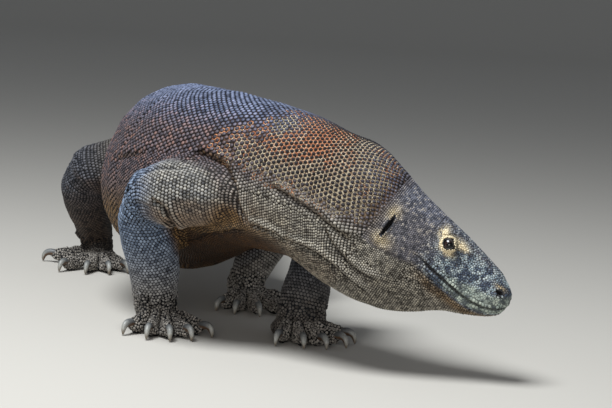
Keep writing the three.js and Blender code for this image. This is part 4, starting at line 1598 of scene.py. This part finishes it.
def shape_claw(root, tip, out):
    """A hooked claw between the root and the tip of a solid claw."""
    aside = np.cross([0, 0, 1.0], out)
    reach = float((tip - root) @ out)
    cylinder = bpy.ops.mesh.primitive_cylinder_add
    claw = add_alone(cylinder, vertices=CLAW_SIDES, radius=1, depth=1, end_fill_type="TRIFAN")
    bpy.ops.object.mode_set(mode="EDIT")
    bpy.ops.mesh.select_all(action="DESELECT")
    bpy.ops.object.mode_set(mode="OBJECT")
    for edge in claw.data.edges:
        ends = [claw.data.vertices[i].co for i in edge.vertices]
        edge.select = abs(ends[0].z - ends[1].z) > 0.5
    bpy.ops.object.mode_set(mode="EDIT")
    bpy.ops.mesh.select_mode(type="EDGE")
    bpy.ops.mesh.subdivide(number_cuts=CLAW_CUTS)
    bpy.ops.object.mode_set(mode="OBJECT")
    shape = spots_of(claw)
    t = shape[:, 2:3] + 0.5
    start = np.array([7 * MM, root[2] + 2 * MM])
    peak = np.array([1.02 * reach, CLAW_ARCH])
    end = np.array([reach, 1.6 * MM])
    hook = start * (1 - t) ** 2 + peak * 2 * t * (1 - t) + end * t**2
    slope = unit(2 * (1 - t) * (peak - start) + 2 * t * (end - peak))
    girth = (1 - t**2.4) ** 0.7 * 0.84 + 0.16
    rise = -shape[:, 0:1] * girth * CLAW_HALF_HEIGHT
    middle = root * [1, 1, 0] + hook[:, :1] * out + hook[:, 1:] * [0, 0, 1.0]
    upward = slope[:, :1] * np.array([0, 0, 1.0]) - slope[:, 1:] * out
    put_spots(claw, middle + upward * rise + aside * shape[:, 1:2] * girth * CLAW_HALF_WIDTH)
    store(claw, {"to_tip": t[:, 0], "belly": shape[:, 0] * 0.5 + 0.5})
    return claw


claws = [shape_claw(*axis) for toes in TOES.values() for axis in toes]
pick_only(*claws)
bpy.ops.object.join()
claws = claws[0]
claws.name = claws.data.name = "claws"
face_outwards(claws)
claws.data.shade_smooth()
claws.data.materials.append(horn_material())
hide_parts(*[f"claw_{paw}_{toe}" for paw in PAWS for toe in range(1, 6)])
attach(claws, "root")
print("claws with", len(claws.data.polygons), "faces in all")

# %% [markdown]
# ## Floor, light and camera
#
# A pale floor and big soft lamps show form without hard shadows. A wide lamp overhead stands for
# an open sky, a smaller one lifts the side towards the camera, and a grey world fills the rest.
# The camera looks at the animal from its right and front, low down, with a long lens.

# %% Floor and light
FLOOR_WIDE = 60.0
FLOOR_BACK = -12.0
SWEEP = 9.0
turns = np.linspace(0, math.pi / 2, 25)
bend = [(FLOOR_BACK - SWEEP * math.sin(a), SWEEP * (1 - math.cos(a))) for a in turns]
profile = [(20.0, 0.0)] + bend + [(bend[-1][0], 20.0)]
mesh = bpy.data.meshes.new("floor")
corners = [(px, side * FLOOR_WIDE, pz) for px, pz in profile for side in (-1, 1)]
mesh.from_pydata(corners, [], [(2 * k, 2 * k + 1, 2 * k + 3, 2 * k + 2) for k in range(len(profile) - 1)])
mesh.shade_smooth()
floor = bpy.data.objects.new("floor", mesh)
bpy.context.scene.collection.objects.link(floor)
pale = Shader("pale_floor")
floor.data.materials.append(pale.finish(Base_Color=tint(172, 168, 161), Roughness=0.9))


def soft_lamp(name, spot, target, size, power, warmth):
    """A round area lamp turned towards a place."""
    data = bpy.data.lights.new(name, "AREA")
    data.shape, data.size, data.energy, data.color = "DISK", size, power, warmth
    lamp = bpy.data.objects.new(name, data)
    lamp.location = spot
    lamp.rotation_euler = (Vector(target) - Vector(spot)).to_track_quat("-Z", "Y").to_euler()
    bpy.context.scene.collection.objects.link(lamp)


soft_lamp("sky", (1.5, -0.9, 2.6), (0.8, 0.0, 0.2), 1.3, 135, (0.93, 0.97, 1.0))
soft_lamp("fill", (4.2, -0.9, 0.9), (0.7, 0.0, 0.2), 1.6, 42, (1.0, 0.96, 0.91))
world = bpy.data.worlds.new("studio")
world.use_nodes = True
world.node_tree.nodes["Background"].inputs["Color"].default_value = (0.78, 0.84, 0.92, 1.0)
world.node_tree.nodes["Background"].inputs["Strength"].default_value = 0.3
bpy.context.scene.world = world
bpy.context.scene.view_settings.view_transform = "Standard"

# %% Camera
CAMERA_AT = Vector((3.5154, -0.5122, 0.5062))
CAMERA_AHEAD = Vector((-0.97425, 0.19659, -0.11043)).normalized()
CAMERA_ROLL = math.atan(0.07)
CAMERA_LENS = 118.59
level_right = CAMERA_AHEAD.cross(Vector((0, 0, 1))).normalized()
level_up = level_right.cross(CAMERA_AHEAD)
camera_right = level_right * math.cos(CAMERA_ROLL) + level_up * math.sin(CAMERA_ROLL)
camera_up = level_up * math.cos(CAMERA_ROLL) - level_right * math.sin(CAMERA_ROLL)
camera_data = bpy.data.cameras.new("camera")
camera_data.lens = CAMERA_LENS
camera_data.sensor_width = 36.0
camera = bpy.data.objects.new("camera", camera_data)
turn = Matrix((camera_right, camera_up, -CAMERA_AHEAD)).transposed()
camera.matrix_world = Matrix.Translation(CAMERA_AT) @ turn.to_4x4()
bpy.context.scene.collection.objects.link(camera)
bpy.context.scene.camera = camera
